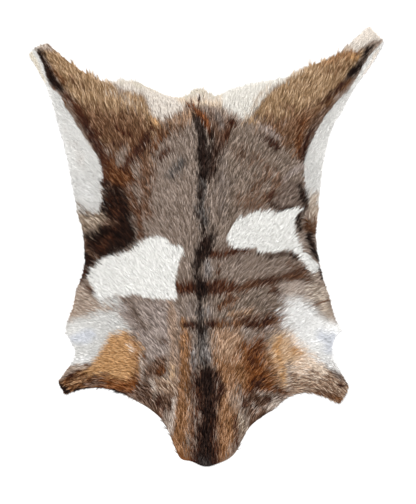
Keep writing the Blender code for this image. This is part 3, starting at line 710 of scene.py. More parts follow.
        (-45, -154, 9), (-44, -179, 12), (-45, -225, 12), (-47, -271, 13), (-49, -300, 14), (-48, -328, 17),
        (-52, -356, 18), (-55, -385, 16), (-50, -408, 15), (-44, -428, 15))),
    Streak("orange column, bright", "amber", 13, (
        (-47, -156, 4), (-46, -185, 4), (-46, -222, 1), (-49, -264, 0))),
    Streak("orange column, pale edge", "ochre", 10, ((-56, -176, 1), (-55, -191, 3), (-55, -206, 1))),
    Streak("pale column", "pale_column", 14, (
        (-71, -112, 6), (-68, -140, 8), (-66, -180, 9), (-65, -227, 9), (-67, -262, 9), (-64, -292, 6))),
    Streak("pale column, low", "grizzled", 12, (
        (-66, -284, 3), (-66, -310, 5), (-68, -340, 3), (-71, -366, 4))),
    Streak("spine, saddle, slate", "slate", 20, (
        (-12, -116, 8), (-13, -132, 9), (-12, -150, 9), (-10, -176, 12), (-8, -206, 11))),
    Streak("second bar, left", "dark_brown", 12, ((-46, -156, 2), (-32, -157, 8), (-14, -157, 9))),
    Streak("spine, second bar", "black_slate", 13, (
        (-13, -104, 4), (-15, -124, 2), (-14, -142, 2.5), (-12, -156, 9), (-12, -176, 4), (-10, -196, 0))),
    Streak("spine, grey patch", "slate_grey", 15, ((-5, -206, 8), (-4, -226, 12))),
    Streak("spine, dark line", "slate", 14, ((-10, -198, 4), (-10, -218, 3), (-4, -238, 9))),
    Streak("mane, brown edge", "brown", 26, (
        (-5, -251, 12), (-2, -264, 26), (-1, -284, 29), (2, -306, 22), (3, -345, 20), (1, -385, 22),
        (-2, -412, 27), (-4, -438, 29))),
    Streak("mane, brown root", "brown", 12, ((-20, -352, 3), (-19, -338, 8), (-18, -324, 3))),
    Streak("mane, brown tip", "brown", 12, ((22, -390, 3), (23, -404, 6), (22, -418, 4))),
    Streak("mane, shoulders", "dark_brown", 13, (
        (14, -256, 5), (25, -270, 9), (30, -283, 9), (19, -306, 5))),
    Streak("mane", "black", 24, (
        (-4, -240, 4), (-2, -252, 13), (-1, -268, 19), (1, -290, 16), (2, -317, 13), (1, -347, 12),
        (-1, -374, 13), (-2, -396, 14), (-4, -418, 17), (-4, -440, 17))),
    Streak("neck end, grey hairs", "slate", 16, ((-12, -428, 3), (4, -432, 3))),
    # the left white patch, elbow and arm
    Patch("left white patch", "white", 3, (
        (-237, -59), (-231, -45), (-212, -26), (-192, -17), (-172, -14), (-154, -8), (-147, -1), (-133, 8),
        (-115, 17), (-97, 22), (-84, 17), (-68, 3), (-49, 1), (-44, -7), (-51, -20), (-57, -43), (-63, -69),
        (-61, -87), (-57, -101), (-66, -106), (-95, -105), (-115, -103), (-129, -99), (-149, -95),
        (-165, -101), (-179, -95), (-197, -103), (-215, -109), (-221, -99), (-227, -83), (-235, -69))),
    Streak("left flank, brown rim", "mottled_brown", 14, (
        (-244, 12, 3), (-244, -6, 5), (-232, -13, 6), (-217, -22, 4))),
    Streak("left elbow, brown rim", "brown", 9, ((-249, -40, 5), (-251, -58, 7), (-254, -74, 5))),
    Patch("left elbow, fawn", "fawn", 16, (
        (-278, -144), (-266, -103), (-256, -77), (-240, -74), (-228, -88), (-217, -106), (-196, -107),
        (-178, -103), (-172, -112), (-196, -134), (-222, -144), (-250, -154), (-268, -164))),
    Streak("left elbow, dark hair", "brown", 8, ((-243, -77, 1.5), (-232, -88, 3), (-221, -95, 2))),
    Patch("left elbow, white", "belly_white", 30, (
        (-278, -150), (-247, -140), (-224, -134), (-206, -130), (-184, -128), (-168, -142), (-154, -160),
        (-160, -180), (-175, -186), (-187, -193), (-196, -208), (-207, -222), (-228, -238), (-246, -246),
        (-268, -252), (-300, -240), (-288, -200), (-292, -160))),
    Streak("left white patch, tail", "belly_white", 20, (
        (-218, -98, 4), (-206, -110, 7), (-182, -111, 9), (-166, -124, 5))),
    Streak("left elbow, taupe hair", "pale_taupe", 30, ((-176, -114, 0), (-164, -127, 2), (-156, -146, 2))),
    Streak("left elbow, bluish", "bluish_white", 24, ((-266, -185, 9), (-246, -180, 13), (-228, -174, 7))),
    Patch("left arm, russet", "russet", 20, (
        (-222, -246), (-190, -248), (-160, -250), (-132, -246), (-134, -280), (-150, -298), (-169, -298),
        (-197, -292), (-217, -290), (-226, -272))),
    Patch("left arm, golden", "golden", 20, (
        (-194, -175), (-166, -170), (-144, -182), (-131, -204), (-129, -229), (-133, -252), (-154, -266),
        (-176, -264), (-198, -260), (-218, -258), (-236, -250), (-238, -241), (-220, -220), (-205, -199))),
    Streak("left arm, orange edge", "orange_brown", 28, (
        (-150, -188, 3), (-141, -214, 4), (-139, -240, 5), (-144, -262, 4))),
    Streak("left arm, dark spots", "rust_brown", 12, ((-216, -258, 4), (-198, -256, 3))),
    Streak("left arm, pale spots", "pinkish", 8, ((-156, -197, 2), (-149, -208, 4))),
    Streak("left arm, dark rim", "brown", 9, ((-150, -294, 4), (-172, -291, 3), (-198, -285, 3))),
    Streak("left arm, pale line", "grizzled", 8, ((-132, -220, 2), (-130, -240, 3), (-128, -259, 3))),
    Streak("left arm, rusty spot", "rust", 8, ((-127, -214, 2), (-124, -223, 4))),
    Patch("left arm, brown", "tan_brown", 11, (
        (-99, -222), (-79, -220), (-81, -248), (-88, -259), (-99, -259), (-106, -252), (-118, -264),
        (-125, -261), (-122, -245), (-111, -234))),
    Streak("left arm, dark brown", "mottled_brown", 14, (
        (-122, -256, 7), (-108, -243, 9), (-94, -233, 8), (-84, -227, 5))),
    Streak("left arm, rust", "russet_brown", 11, ((-98, -252, 5), (-87, -248, 7))),
    Streak("left shoulder, dark spot", "brown", 9, ((-86, -184, 4), (-81, -189, 5))),
    Streak("left shoulder, smoky spot", "smoke", 11, ((-96, -185, 4), (-91, -190, 4))),
    Patch("left armpit, pale", "mottled", 12, (
        (-106, -264), (-83, -262), (-66, -271), (-62, -294), (-70, -301), (-83, -294), (-99, -291),
        (-111, -298), (-116, -282), (-111, -271))),
    Streak("left armpit, white tuft", "grizzled", 9, ((-111, -270, 5), (-106, -284, 6))),
    Patch("left armpit, dark", "mottled_brown", 12, (
        (-132, -268), (-116, -262), (-108, -294), (-102, -317), (-106, -330), (-120, -322), (-136, -312),
        (-156, -300), (-143, -284))),
    Streak("left armpit, dark hairs", "dark_taupe", 30, (
        (-126, -276, 1), (-124, -298, 2), (-112, -318, 1))),
    Streak("left armpit, tan spot", "pale_golden", 18, ((-74, -262, 0), (-67, -253, 5), (-66, -240, 0))),
    Patch("left neck edge, brown", "mottled_brown", 10, (
        (-102, -294), (-88, -291), (-72, -296), (-70, -326), (-83, -330), (-88, -342), (-100, -342),
        (-111, -328), (-104, -307))),
    Streak("left neck edge, thin hairs", "tan_brown", 14, (
        (-104, -340, 0), (-97, -336, 3), (-90, -330, 0))),
    Streak("left neck edge, dark", "dark_brown", 11, ((-93, -301, 5), (-98, -318, 5), (-83, -326, 4))),
    # the left foreleg
    Patch("left foreleg", "mottled_tan", 12, (
        (-302, -272), (-292, -247), (-268, -238), (-242, -230), (-222, -242), (-214, -290), (-241, -297),
        (-285, -304))),
    Streak("left foreleg, fawn top", "fawn", 12, (
        (-292, -260, 4), (-282, -254, 6), (-271, -247, 5), (-256, -242, 7), (-243, -243, 6))),
    Streak("left foreleg, golden top", "golden", 14, (
        (-250, -251, 3), (-238, -250, 6), (-229, -247, 6), (-215, -252, 4))),
    Streak("left elbow, white end", "elbow_white", 16, ((-264, -227, 4), (-252, -227, 6), (-238, -225, 5))),
    Streak("left foreleg, smoky root", "mottled_brown", 15, (
        (-242, -275, 6), (-224, -272, 7), (-210, -272, 5))),
    Streak("left foreleg, dark top", "brown", 18, ((-276, -264, 2), (-268, -260, 5), (-260, -259, 4))),
    Streak("left foreleg, golden", "golden_tan", 13, ((-269, -271, 3), (-258, -267, 6), (-246, -262, 4))),
    Streak("left foreleg, dark tip", "black", 9, ((-295, -274, 4), (-287, -284, 6), (-277, -291, 5))),
    Streak("left foreleg, under edge", "umber", 6, (
        (-263, -287, 3), (-246, -284, 3), (-221, -284, 3), (-193, -287, 2.5), (-163, -295, 4))),
    # the right white patch and the whorl
    Patch("right white patch", "white", 3, (
        (40, 20), (49, 36), (63, 57), (68, 63), (75, 56), (85, 66), (103, 72), (128, 73), (137, 70),
        (148, 69), (164, 74), (176, 79), (190, 79), (196, 74), (189, 70), (181, 63), (177, 51), (177, 33),
        (182, 19), (188, 9), (193, 0), (196, -10), (204, -18), (212, -26), (225, -37), (222, -48),
        (216, -57), (208, -50), (194, -34), (183, -17), (172, -9), (158, -6), (147, -11), (135, -14),
        (120, -11), (107, -11), (98, -3), (77, -3), (66, -4), (50, 1), (42, 9))),
    Streak("right white patch, grizzled edge", "grizzled", 12, ((186, 22, 1), (193, 12, 3), (200, 2, 2))),
    Streak("beside the whorl", "tan_brown", 9, ((215, 58, 4), (218, 44, 4), (216, 30, 4))),
    Streak("whorl", "tan_brown", 7, ((201, 48, 10), (203, 38, 11))),
    Streak("whorl, dark side", "umber", 7, ((193, 70, 4), (185, 60, 5), (183, 46, 4), (188, 32, 3))),
    Streak("below the whorl", "umber", 8, (
        (206, 24, 5), (209, 8, 6.5), (214, -8, 6), (223, -23, 4), (227, -34, 2))),
    Streak("whorl, light arc", "grizzled", 2, ((195, 46, 1.2), (199, 49.5, 1.6), (204, 48, 1.2))),
    Streak("flank, dark rim", "umber", 5, ((225, -42, 1.5), (228, -53, 4), (231, -63, 3))),
    # the tail's long hair, over all the rest
    Streak("tail swirl, gap", "black_slate", 6, (
        (-29, 266, 1.5), (-20, 254, 4), (-10, 240, 6), (-8, 224, 6))),
    Streak("tail swirl", "swirl", 6, (
        (-41, 285, 1), (-29, 277, 2.5), (-18, 268, 6), (-6, 257, 7), (1, 244, 7), (7, 230, 5),
        (8, 216, 3))),
    Streak("tail swirl, core", "swirl_light", 5, (
        (-32, 281, 1), (-16, 269, 2), (-3, 257, 2.6), (4, 244, 2.6), (8, 230, 1.6))),
    Streak("tail swirl, dark end", "umber", 12, ((5, 234, 1), (11, 220, 6), (15, 204, 4))),
    Streak("tail swirl, top hair, left", "swirl", 3, ((-31, 297, 0.5), (-28, 287, 1.2), (-25, 276, 1.6))),
    Streak("tail swirl, top hair, right", "swirl", 3, ((-14, 298, 0.5), (-16, 288, 1.2), (-16, 277, 1.6))),
)

BACKGROUND_SHADE = "taupe"  # under all the markings

# The locks

BANDS = ("neck", "shoulders", "ribs", "loin", "haunches")  # the coat's pieces
SEED = 41
LOCK_STRAY = 0.32  # how far a lock strays from its place, as a share of the step
LOCK_CLEARANCE = 0.3  # locks grow at least this far inside the rim
LOCK_HALF_WIDTH = 2.0
LOCK_HALF_LENGTH = 2.6
LOCK_LENGTHS = (0.8, 1.15)  # from the shortest to the longest, as shares of the mean
LOCK_BEND = 0.05  # how far tips stray sideways, as a share of the length
LEAST_WEIGHT = 1e-9  # every lay counts this much anywhere, so that no place is left without one
WHORL_CORE = 1.6  # how sharply a whorl ends at its reach, above 1 with a whole middle

# How high the locks stand

MEAN_HEIGHT = 0.97  # as a share of the pile's height
HEIGHT_SPREAD = 0.1  # how far locks stand over or under that
STAND_LIMIT = 2.2  # no lock is further than this many times the spread from the mean
STEEPEST = 0.6  # the greatest height of a lock, as a share of its length

# The hairs of a lock. Guard hairs lie on top, in two parts, and under hairs fill the pile.

GUARD_HAIRS = 2
UNDER_HAIRS = 3
GUARD_TURN = 0.4  # how far guard hairs turn from their lock, as a share of the locks' own stray
UNDER_TURN = 20.0  # how far under hairs turn, in degrees
GUARD_CLOSING = 0.35  # a guard hair's distance from the lock's middle at its tip, as a share of its root's
UNDER_CLOSING = 0.7
UNDER_LENGTH = 0.62  # as a share of a guard hair's
UNDER_HEIGHT = 0.5
HAIR_LENGTHS_IN_LOCK = (0.82, 1.12)  # as shares of the lock's own
HAIR_HEIGHTS_IN_LOCK = (0.75, 1.15)
HAIR_WIDTHS = (0.75, 1.2)
HAIR_BEND = 0.025  # what a hair adds to its lock's bend
MIDDLE_BOW = 0.3  # how far a bent hair's middle bows the other way, as a share of the bend
MID_HEIGHT = 0.7  # a hair's height half way along it, as a share of its tip's
MID_WIDTH = 0.8
TIP_AHEAD = 0.4  # how much of its root's place along the lock a tip keeps
LEAST_REACH = 0.5  # how far a hair reaches along the skin at least, as a share of its length
ROOT_SINK = 0.5  # how deep the roots start in the skin
ROOT_CLEARANCE = 0.2  # roots nearer to the rim than this move to their lock's middle
HAIR_FLATNESS = 0.7
STRAND_CORNERS = (math.pi / 2, math.pi * 7 / 6, math.pi * 11 / 6)  # one of a strand's edges is on top

# Fine hair

FINE_FLATNESS = 0.55
FINE_THINNESS = 0.3
FINE_CALM = 0.75  # how much of its locks' unevenness fine hair lacks

# Hair at the rim, and the tufts of the table

SHORTEST_HAIR = 4.0
CUT_STEP = 0.1  # hair that would pass the rim too far is shortened in steps of this share
RIM_REACH = 40.0  # locks further inside than this never come near the rim
LEAST_OVERHANG = 0.8  # how far the shortest hair passes the cut, where hair passes it at all
FRINGE_LENGTHS = (0.4, 1)  # how far the hairs of a bunch at the rim go, as shares of its overhang
STRAGGLER_POWER = 4  # the higher, the fewer long hairs pass the cut between the bunches
TUFT_LOCKS = 3
TUFT_LENGTHS = (0.85, 1.1)
TUFT_SPREAD = 0.9
TUFT_STRAY = 3.0  # in degrees
TUFT_BEND = 0.02
TUFT_RISE = 1.1  # how high tufts lie, as a share of the pile's height

# Soft unevenness: how much, over what size in millimetres, and a seed of its own

Drift = namedtuple("Drift", "amount size seed")
LAY_DRIFTS = (Drift(9, 26, 7), Drift(6, 11, 8))  # in degrees
FRINGE_DRIFTS = (Drift(1.6, 7, 11),)  # the bunches at the rim
TONE_DRIFTS = (Drift(0.1, 34, 9),)
CHANCE_DRIFTS = (Drift(0.22, 8, 10),)
EDGE_DRIFTS = (Drift(1, 17, 21), Drift(0.5, 17 / 2.6, 22))  # the markings' edges
DRIFT_CELLS = 128  # a drift repeats after this many times its size

# Colour from root to tip, as shares of the way from the root's colour to the tip's

ROOT_TONE = 0.0
MID_TONE = 0.6
LOCK_HEIGHT_PAINTED_SHADE = 0.17  # painted shade: high locks are painted lighter and low ones darker, for the shade deeper in the pile
LOCK_TONE_SPREAD = 0.13
HAIR_TONE_SPREAD = 0.25
STREAK_TONE_SPREAD = 0.26  # hairs that lie in one line along the lay share this part of the tone
STREAK_WIDTH = 1.5
STREAK_LENGTH = 12.0
STREAK_SAMPLES = 9
TONE_STREAK_SEED = 13
CHANCE_STREAK_SEED = 12
TIP_TONE = 0.62
DARKEST_TONE = -0.6
LIGHTEST_TONE = 1.2
UNDER_TONE = 0.55  # the under hairs' tone, as a share of the guard hairs'
EDGE_SHARPNESS = 2.0  # how sharply a hair belongs to one side of a marking's edge
EVEN_CHANCE = 0.5  # the chance of a hair in the middle of a soft edge
CHANCE_SPREAD = 0.12
CHANCE_STRAY = 0.15
LEAST_CHANCE = 0.02
COLOUR_POINT = 0.6  # how far from root to tip the place is whose marking a hair takes
EDGE_WANDER = 0.2  # how far a marking's edge strays, as a share of its softness
WIDEST_WANDER = 16.0  # softer edges than this stray no further

# The materials' grain, in millimetres

FIBRE_SIZE = 1.6
SUEDE_CLOUD_SIZE = 28.0
NAP_SIZE = 1.1
NAP_DEPTH = 0.3
MIX_A, MIX_B, MIX_RESULT = 6, 7, 2  # the places of a mix node's colour sockets

# The room, in metres and watts

PHOTO_WIDTH = 416
PHOTO_HEIGHT = 504
PHOTO_PIXEL = 0.002  # on the floor
CAMERA_HEIGHT = 2.5
CAMERA_ACROSS = 0.003
CAMERA_ALONG = -0.011
SENSOR = 36.0  # in millimetres
FLOOR_REACH = 6.0
FLOOR_DROP = 0.0004  # the skin lies this far over the floor
FLOOR_COLOUR = "#CBCBCB"
SKY_STRENGTH = 0.86
Lamp = namedtuple("Lamp", "name place size watts")
LAMPS = (
    Lamp("key", (-0.6, 4.0, 7.0), 3.6, 740),
    Lamp("fill", (1.2, -3.0, 7.0), 5.0, 240),
)


def linear(hex_colour):
    """An sRGB hex value as three linear numbers."""
    parts = [int(hex_colour[k:k + 2], 16) / 255 for k in (1, 3, 5)]
    return tuple(part / 12.92 if part <= 0.04045 else ((part + 0.055) / 1.055) ** 2.4 for part in parts)


class GoatskinSizes(PropertyGroup):
    """Sizes of the coat."""

    hair_length: FloatProperty(
        name="Hair length", description="Length of the back's hair",
        default=20 * MM, min=5 * MM, max=60 * MM, unit="LENGTH")
    hair_width: FloatProperty(
        name="Hair width", description="Width of a strand of guard hairs at its root",
        default=1.7 * MM, min=0.3 * MM, max=4 * MM, unit="LENGTH")
    lock_step: FloatProperty(
        name="Lock step", description="Distance from one lock of hair to the next",
        default=3.75 * MM, min=2 * MM, max=12 * MM, unit="LENGTH")
    lay_stray: FloatProperty(
        name="Stray", description="How far a lock turns from the lay",
        default=math.radians(9), min=0, max=math.radians(40), unit="ROTATION")
    seed: IntProperty(
        name="Seed", description="Another seed gives another coat of the same kind", default=SEED)


class GoatskinColours(PropertyGroup):
    """The coat's colours, for the light and the dark hairs of each shade, and the skin's own."""

    skin: FloatVectorProperty(
        name="Skin", description="The tanned skin at the cut edge", subtype="COLOR", size=3, min=0, max=1,
        default=linear("#C2B9AB"))
    suede: FloatVectorProperty(
        name="Suede", description="The flesh side", subtype="COLOR", size=3, min=0, max=1,
        default=linear("#B9AC98"))


for shade in SHADES:
    for part in ("light", "dark"):
        GoatskinColours.__annotations__[shade.name + "_" + part] = FloatVectorProperty(
            name=shade.name.replace("_", " ").capitalize() + ", " + part,
            description="The " + part + " hairs of " + shade.words, subtype="COLOR", size=3, min=0, max=1,
            default=linear(getattr(shade, part)))


Sizes = namedtuple("Sizes", "hair_length hair_width lock_step lay_stray")


def chart_sizes(settings):
    """The coat's sizes in the chart's millimetres and in degrees."""
    lengths = (settings.hair_length, settings.hair_width, settings.lock_step)
    return Sizes(*(round(length / MM, 4) for length in lengths), round(math.degrees(settings.lay_stray), 4))


def smooth(share):
    """0 to 1 with level ends."""
    share = np.clip(share, 0, 1)
    return share * share * (3 - 2 * share)


def way_of(heading):
    """Steps one millimetre long along these headings."""
    return np.stack([np.cos(heading), np.sin(heading)], 1)


def outline_stations():
    """All the outline's stations, each with its edge's overhang."""
    return [(Station(*row), edge.overhang) for edge in OUTLINE for row in edge.stations]


def outline_curve():
    """The cut edge as a flat closed Bezier curve, in the chart's millimetres."""
    stations = [station for station, _ in outline_stations()]
    data = bpy.data.curves.new("cut_edge", "CURVE")
    data.dimensions = "2D"
    data.fill_mode = "NONE"
    data.resolution_u = CURVE_STEPS
    spline = data.splines.new("BEZIER")
    spline.bezier_points.add(len(stations) - 1)
    spline.use_cyclic_u = True
    for point, station in zip(spline.bezier_points, stations):
        point.co.xy = station.across, station.along
        handle = "VECTOR" if station.corner else "AUTO"
        point.handle_left_type = handle
        point.handle_right_type = handle
    guide = bpy.data.objects.new("cut_edge", data)
    bpy.context.scene.collection.objects.link(guide)
    return guide


def curve_points(guide):
    """The guide's points in order, CURVE_STEPS of them for each station. The guide is then removed."""
    bpy.context.view_layer.update()
    graph = bpy.context.evaluated_depsgraph_get()
    mesh = bpy.data.meshes.new_from_object(guide.evaluated_get(graph))
    points = [vertex.co.xy.copy() for vertex in mesh.vertices]
    bpy.data.meshes.remove(mesh)
    bpy.data.curves.remove(guide.data)
    return points


def even_run(points):
    """Points a RIM_STEP apart along a run of points, without its last one."""
    lengths = [(b - a).length for a, b in zip(points, points[1:])]
    whole = sum(lengths)
    count = max(1, round(whole / RIM_STEP))
    made = []
    index = 0
    passed = 0.0
    for step in range(count):
        target = whole * step / count
        while passed + lengths[index] < target:
            passed += lengths[index]
            index += 1
        share = (target - passed) / lengths[index]
        made.append(points[index].lerp(points[index + 1], share))
    return made


def rim_of(guide):
    """The rim's points, evenly spaced between corners, and how far hair may pass the cut at each."""
    dense = curve_points(guide)
    flat = outline_stations()
    corners = [k for k, (station, _) in enumerate(flat) if station.corner]
    rim, overhangs = [], []
    for start, end in zip(corners, corners[1:] + [corners[0] + len(flat)]):
        span = range(start * CURVE_STEPS, end * CURVE_STEPS + 1)
        run = even_run([dense[k % len(dense)] for k in span])
        rim += run
        for point in run:
            nearest = min(span, key=lambda k: (dense[k % len(dense)] - point).length_squared)
            overhangs.append(flat[(nearest // CURVE_STEPS) % len(flat)][1])
    return np.array([tuple(point) for point in rim]), np.array(overhangs)


def rim_distance(places, rim):
    """How far each place (an N x 2 array) is from a closed outline, and whether it is inside."""
    starts = np.asarray(rim, float)
    nearest = np.full(len(places), np.inf)
    inside = np.zeros(len(places), bool)
    for a, b in zip(starts, np.roll(starts, -1, axis=0)):
        run = b - a
        away = places - a
        share = np.clip(away @ run / (run @ run), 0, 1)
        nearest = np.minimum(nearest, ((away - share[:, None] * run) ** 2).sum(1))
        if a[1] != b[1]:
            crosses = (a[1] > places[:, 1]) != (b[1] > places[:, 1])
            across = a[0] + (places[:, 1] - a[1]) * run[0] / run[1]
            inside ^= crosses & (places[:, 0] < across)
    return np.sqrt(nearest), inside


def path_distance(places, steps):
    """How far each place is outside a streak, below zero within it."""
    steps = [Step(*step) for step in steps]
    nearest = np.full(len(places), np.inf)
    for a, b in zip(steps, steps[1:]):
        run = np.array((b.across - a.across, b.along - a.along), float)
        away = places - (a.across, a.along)
        share = np.clip(away @ run / (run @ run), 0, 1)
        half = a.half + (b.half - a.half) * share
        nearest = np.minimum(nearest, np.linalg.norm(away - share[:, None] * run, axis=1) - half)
    return nearest


def distance_to(places, row):
    """How far each place is from the middle of a table's row."""
    return np.linalg.norm(places - (row.across, row.along), axis=1)


def blended(table, low, high, share):
    """The values between a table's cells, from the cells on both sides and the share of the way."""
    near = table[low[:, 0], low[:, 1]] * (1 - share[:, 0]) + table[high[:, 0], low[:, 1]] * share[:, 0]
    far = table[low[:, 0], high[:, 1]] * (1 - share[:, 0]) + table[high[:, 0], high[:, 1]] * share[:, 0]
    return near * (1 - share[:, 1]) + far * share[:, 1]


def drift(places, size, seed):
    """Soft random values from -1 to 1 that change over about this size."""
    table = np.random.default_rng(seed).uniform(-1, 1, (DRIFT_CELLS, DRIFT_CELLS))
    scaled = places / size
    low = np.floor(scaled).astype(int)
    return blended(table, low % DRIFT_CELLS, (low + 1) % DRIFT_CELLS, smooth(scaled - low))


def drifts(places, rows):
    """The sum of a table's drifts."""
    return sum(row.amount * drift(places, row.size, row.seed) for row in rows)


def streaks(places, heading, seed):
    """Random values, mostly from -2 to 2, that run in streaks along these headings."""
    way = way_of(heading)
    steps = STREAK_LENGTH * np.linspace(-0.5, 0.5, STREAK_SAMPLES)
    whole = sum(drift(places + step * way, STREAK_WIDTH, seed) for step in steps)
    return whole / whole.std()


class DepthMap:
    """How far inside the rim a place is, in millimetres, below zero outside it."""

    CELL = 3.0
    MARGIN = 30.0

    def __init__(self, rim):
        self.low = rim.min(0) - self.MARGIN
        self.count = np.ceil((rim.max(0) + self.MARGIN - self.low) / self.CELL).astype(int) + 1
        across, along = np.meshgrid(*(np.arange(count) for count in self.count), indexing="ij")
        places = self.low + self.CELL * np.stack([across.ravel(), along.ravel()], 1)
        distance, inside = rim_distance(places, rim)
        self.table = np.where(inside, distance, -distance).reshape(self.count)

    def at(self, places):
        """The depth at each place (an N x 2 array)."""
        scaled = (places - self.low) / self.CELL
        low = np.clip(np.floor(scaled).astype(int), 0, self.count - 2)
        return blended(self.table, low, low + 1, np.clip(scaled - low, 0, 1))


def skin_lift(places):
    """How far the underside curls off the floor."""
    lift = np.zeros(len(places))
    for curl in CURLS:
        share = np.clip(1 - distance_to(places, curl) / curl.reach, 0, 1)
        lift += curl.lift * share**2
    return lift


def lumps(places):
    """Locks laid like shingles: each rises along the lay to its tip, then drops to the next."""
    side = places[:, 0] - SPINE_OFFSET
    slope = LAY_SLOPE * np.clip(np.abs(side) / LAY_SPREAD, 0, 1)
    across = (np.abs(side) - slope * places[:, 1]) / LUMP_WIDTH
    along = places[:, 1] / LUMP_LENGTH
    column = np.round(across)
    stagger = LUMP_STAGGER * np.mod(column, 2) + LUMP_DRIFT * np.sin(LUMP_DRIFT_TURN * column)
    share = np.mod(along + stagger, 1.0)
    rise = smooth(share / LUMP_TIP) - smooth((share - LUMP_TIP) / (1 - LUMP_TIP))
    crown = np.cos(math.pi * (across - column)) ** 2
    return LUMP_RISE * (rise * crown - LUMP_SINK)


def faded(places, rows):
    """The sum of the rows' extras, each fading with distance."""
    whole = np.zeros(len(places))
    for row in rows:
        whole += row.extra * np.exp(-((distance_to(places, row) / row.reach) ** 2))
    return whole


def pile_height(places, depth):
    """The hair's height over the skin."""
    full = PILE_DEPTH + faded(places, PILE_DEPTHS) + lumps(places)
    full += RIDGE_RISE * np.exp(-(((places[:, 0] - SPINE_OFFSET) / RIDGE_HALF_WIDTH) ** 2))
    return RIM_PILE + (full - RIM_PILE) * smooth(depth / SHOULDER)


def lay_at(places):
    """The way that the hair points at each place, in radians."""
    whole = np.zeros((len(places), 2))
    for lay in LAYS:
        weight = np.exp(-((distance_to(places, lay) / lay.reach) ** 2)) + LEAST_WEIGHT
        heading = math.radians(lay.heading)
        whole += weight[:, None] * (math.cos(heading), math.sin(heading))
    whole /= np.linalg.norm(whole, axis=1)[:, None]
    for whorl in WHORLS:
        away = places - (whorl.across, whorl.along)
        distance = np.linalg.norm(away, axis=1)
        heading = np.arctan2(away[:, 1], away[:, 0]) + math.radians(whorl.turn)
        weight = smooth(WHORL_CORE - WHORL_CORE * distance / whorl.reach)[:, None]
        whole = whole * (1 - weight) + weight * way_of(heading)
    return np.arctan2(whole[:, 1], whole[:, 0])


def paint_for(look):
    """The paint that gives hair this look in the lit pile. Both are linear colours, one in each row."""
    share = smooth((look.mean(1, keepdims=True) - WHITENING) / WHITENING_SPAN)
    shown = DARK_SHOWN + (WHITE_SHOWN - DARK_SHOWN) * share
    return np.clip(np.maximum(look - GLOSS, LEAST_PAINT * look) / shown, 0, LIGHTEST_PAINT)


def shade_colours(colours):
    """Each shade's paint at the tip and at the root, and its place in the list by name."""
    light = np.array([getattr(colours, shade.name + "_light") for shade in SHADES])
    dark = np.array([getattr(colours, shade.name + "_dark") for shade in SHADES])
    ratio = light.mean(1, keepdims=True) / dark.mean(1, keepdims=True)
    gain = ratio ** np.where(ratio < PLAIN_RATIO, PLAIN_CONTRAST, CONTRAST)
    return paint_for(light * gain), paint_for(dark / gain), {shade.name: k for k, shade in enumerate(SHADES)}


def coat_colours(places, chance, colours):
    """Tip and root colours at each place. Chance, from 0 to 1, decides on which side of a soft edge a
    hair is."""
    tips, roots, index = shade_colours(colours)
    wander = drifts(places, EDGE_DRIFTS)
    base = index[BACKGROUND_SHADE]
    tip = np.tile(tips[base], (len(places), 1))
    root = np.tile(roots[base], (len(places), 1))
    for marking in MARKINGS:
        if isinstance(marking, Patch):
            distance, inside = rim_distance(places, marking.points)
            outside = np.where(inside, -distance, distance)
        else:
            outside = path_distance(places, marking.steps)
        outside += EDGE_WANDER * min(marking.soft, WIDEST_WANDER) * wander
        share = 0.5 - outside / marking.soft
        weight = np.clip((share - chance) * EDGE_SHARPNESS + 0.5, 0, 1)[:, None]
        shade = index[marking.shade]
        tip += weight * (tips[shade] - tip)
        root += weight * (roots[shade] - root)
    return tip, root


def lattice(step):
    """The places of a three-way lattice over the hide's bounding box."""
    row_step = step * math.sqrt(3) / 2
    rows = math.ceil(CHART_LENGTH / row_step)
    columns = math.ceil(CHART_WIDTH / step)
    row, column = (part.ravel() for part in np.meshgrid(np.arange(rows + 1), np.arange(columns + 1)))
    across = -CHART_WIDTH / 2 + step * (column + 0.5 * (row % 2))
    return np.stack([across, -CHART_LENGTH / 2 + row_step * row], 1)


def in_metres(places, height):
    """Chart millimetres as places in the frame, in metres."""
    return np.stack([places[:, 0] * ACROSS_SCALE, places[:, 1] * ALONG_SCALE, height * MM], 1)


def flat_hide(rim, inner):
    """A flat mesh of the whole outline with the lattice inside it. A curve's own fill has no inner
    points to lift, so the fill is a constrained triangulation."""
    points = [Vector(place) for place in rim] + [Vector(place) for place in inner]
    filled = delaunay_2d_cdt(points, [], [list(range(len(rim)))], INSIDE_ONLY, SAME_POINT)
    mesh = bmesh.new()
    vertices = [mesh.verts.new((point.x, point.y, 0)) for point in filled[0]]
    for corners in filled[2]:
        mesh.faces.new([vertices[k] for k in corners])
    return mesh


def paint_points(data, colours):
    """Stores a linear colour for every vertex as the coat attribute."""
    paint = data.attributes.new("coat", "FLOAT_COLOR", "POINT")
    rgba = np.column_stack([np.clip(colours, 0, 1), np.ones(len(colours))])
    paint.data.foreach_set("color", rgba.astype(np.float32).ravel())


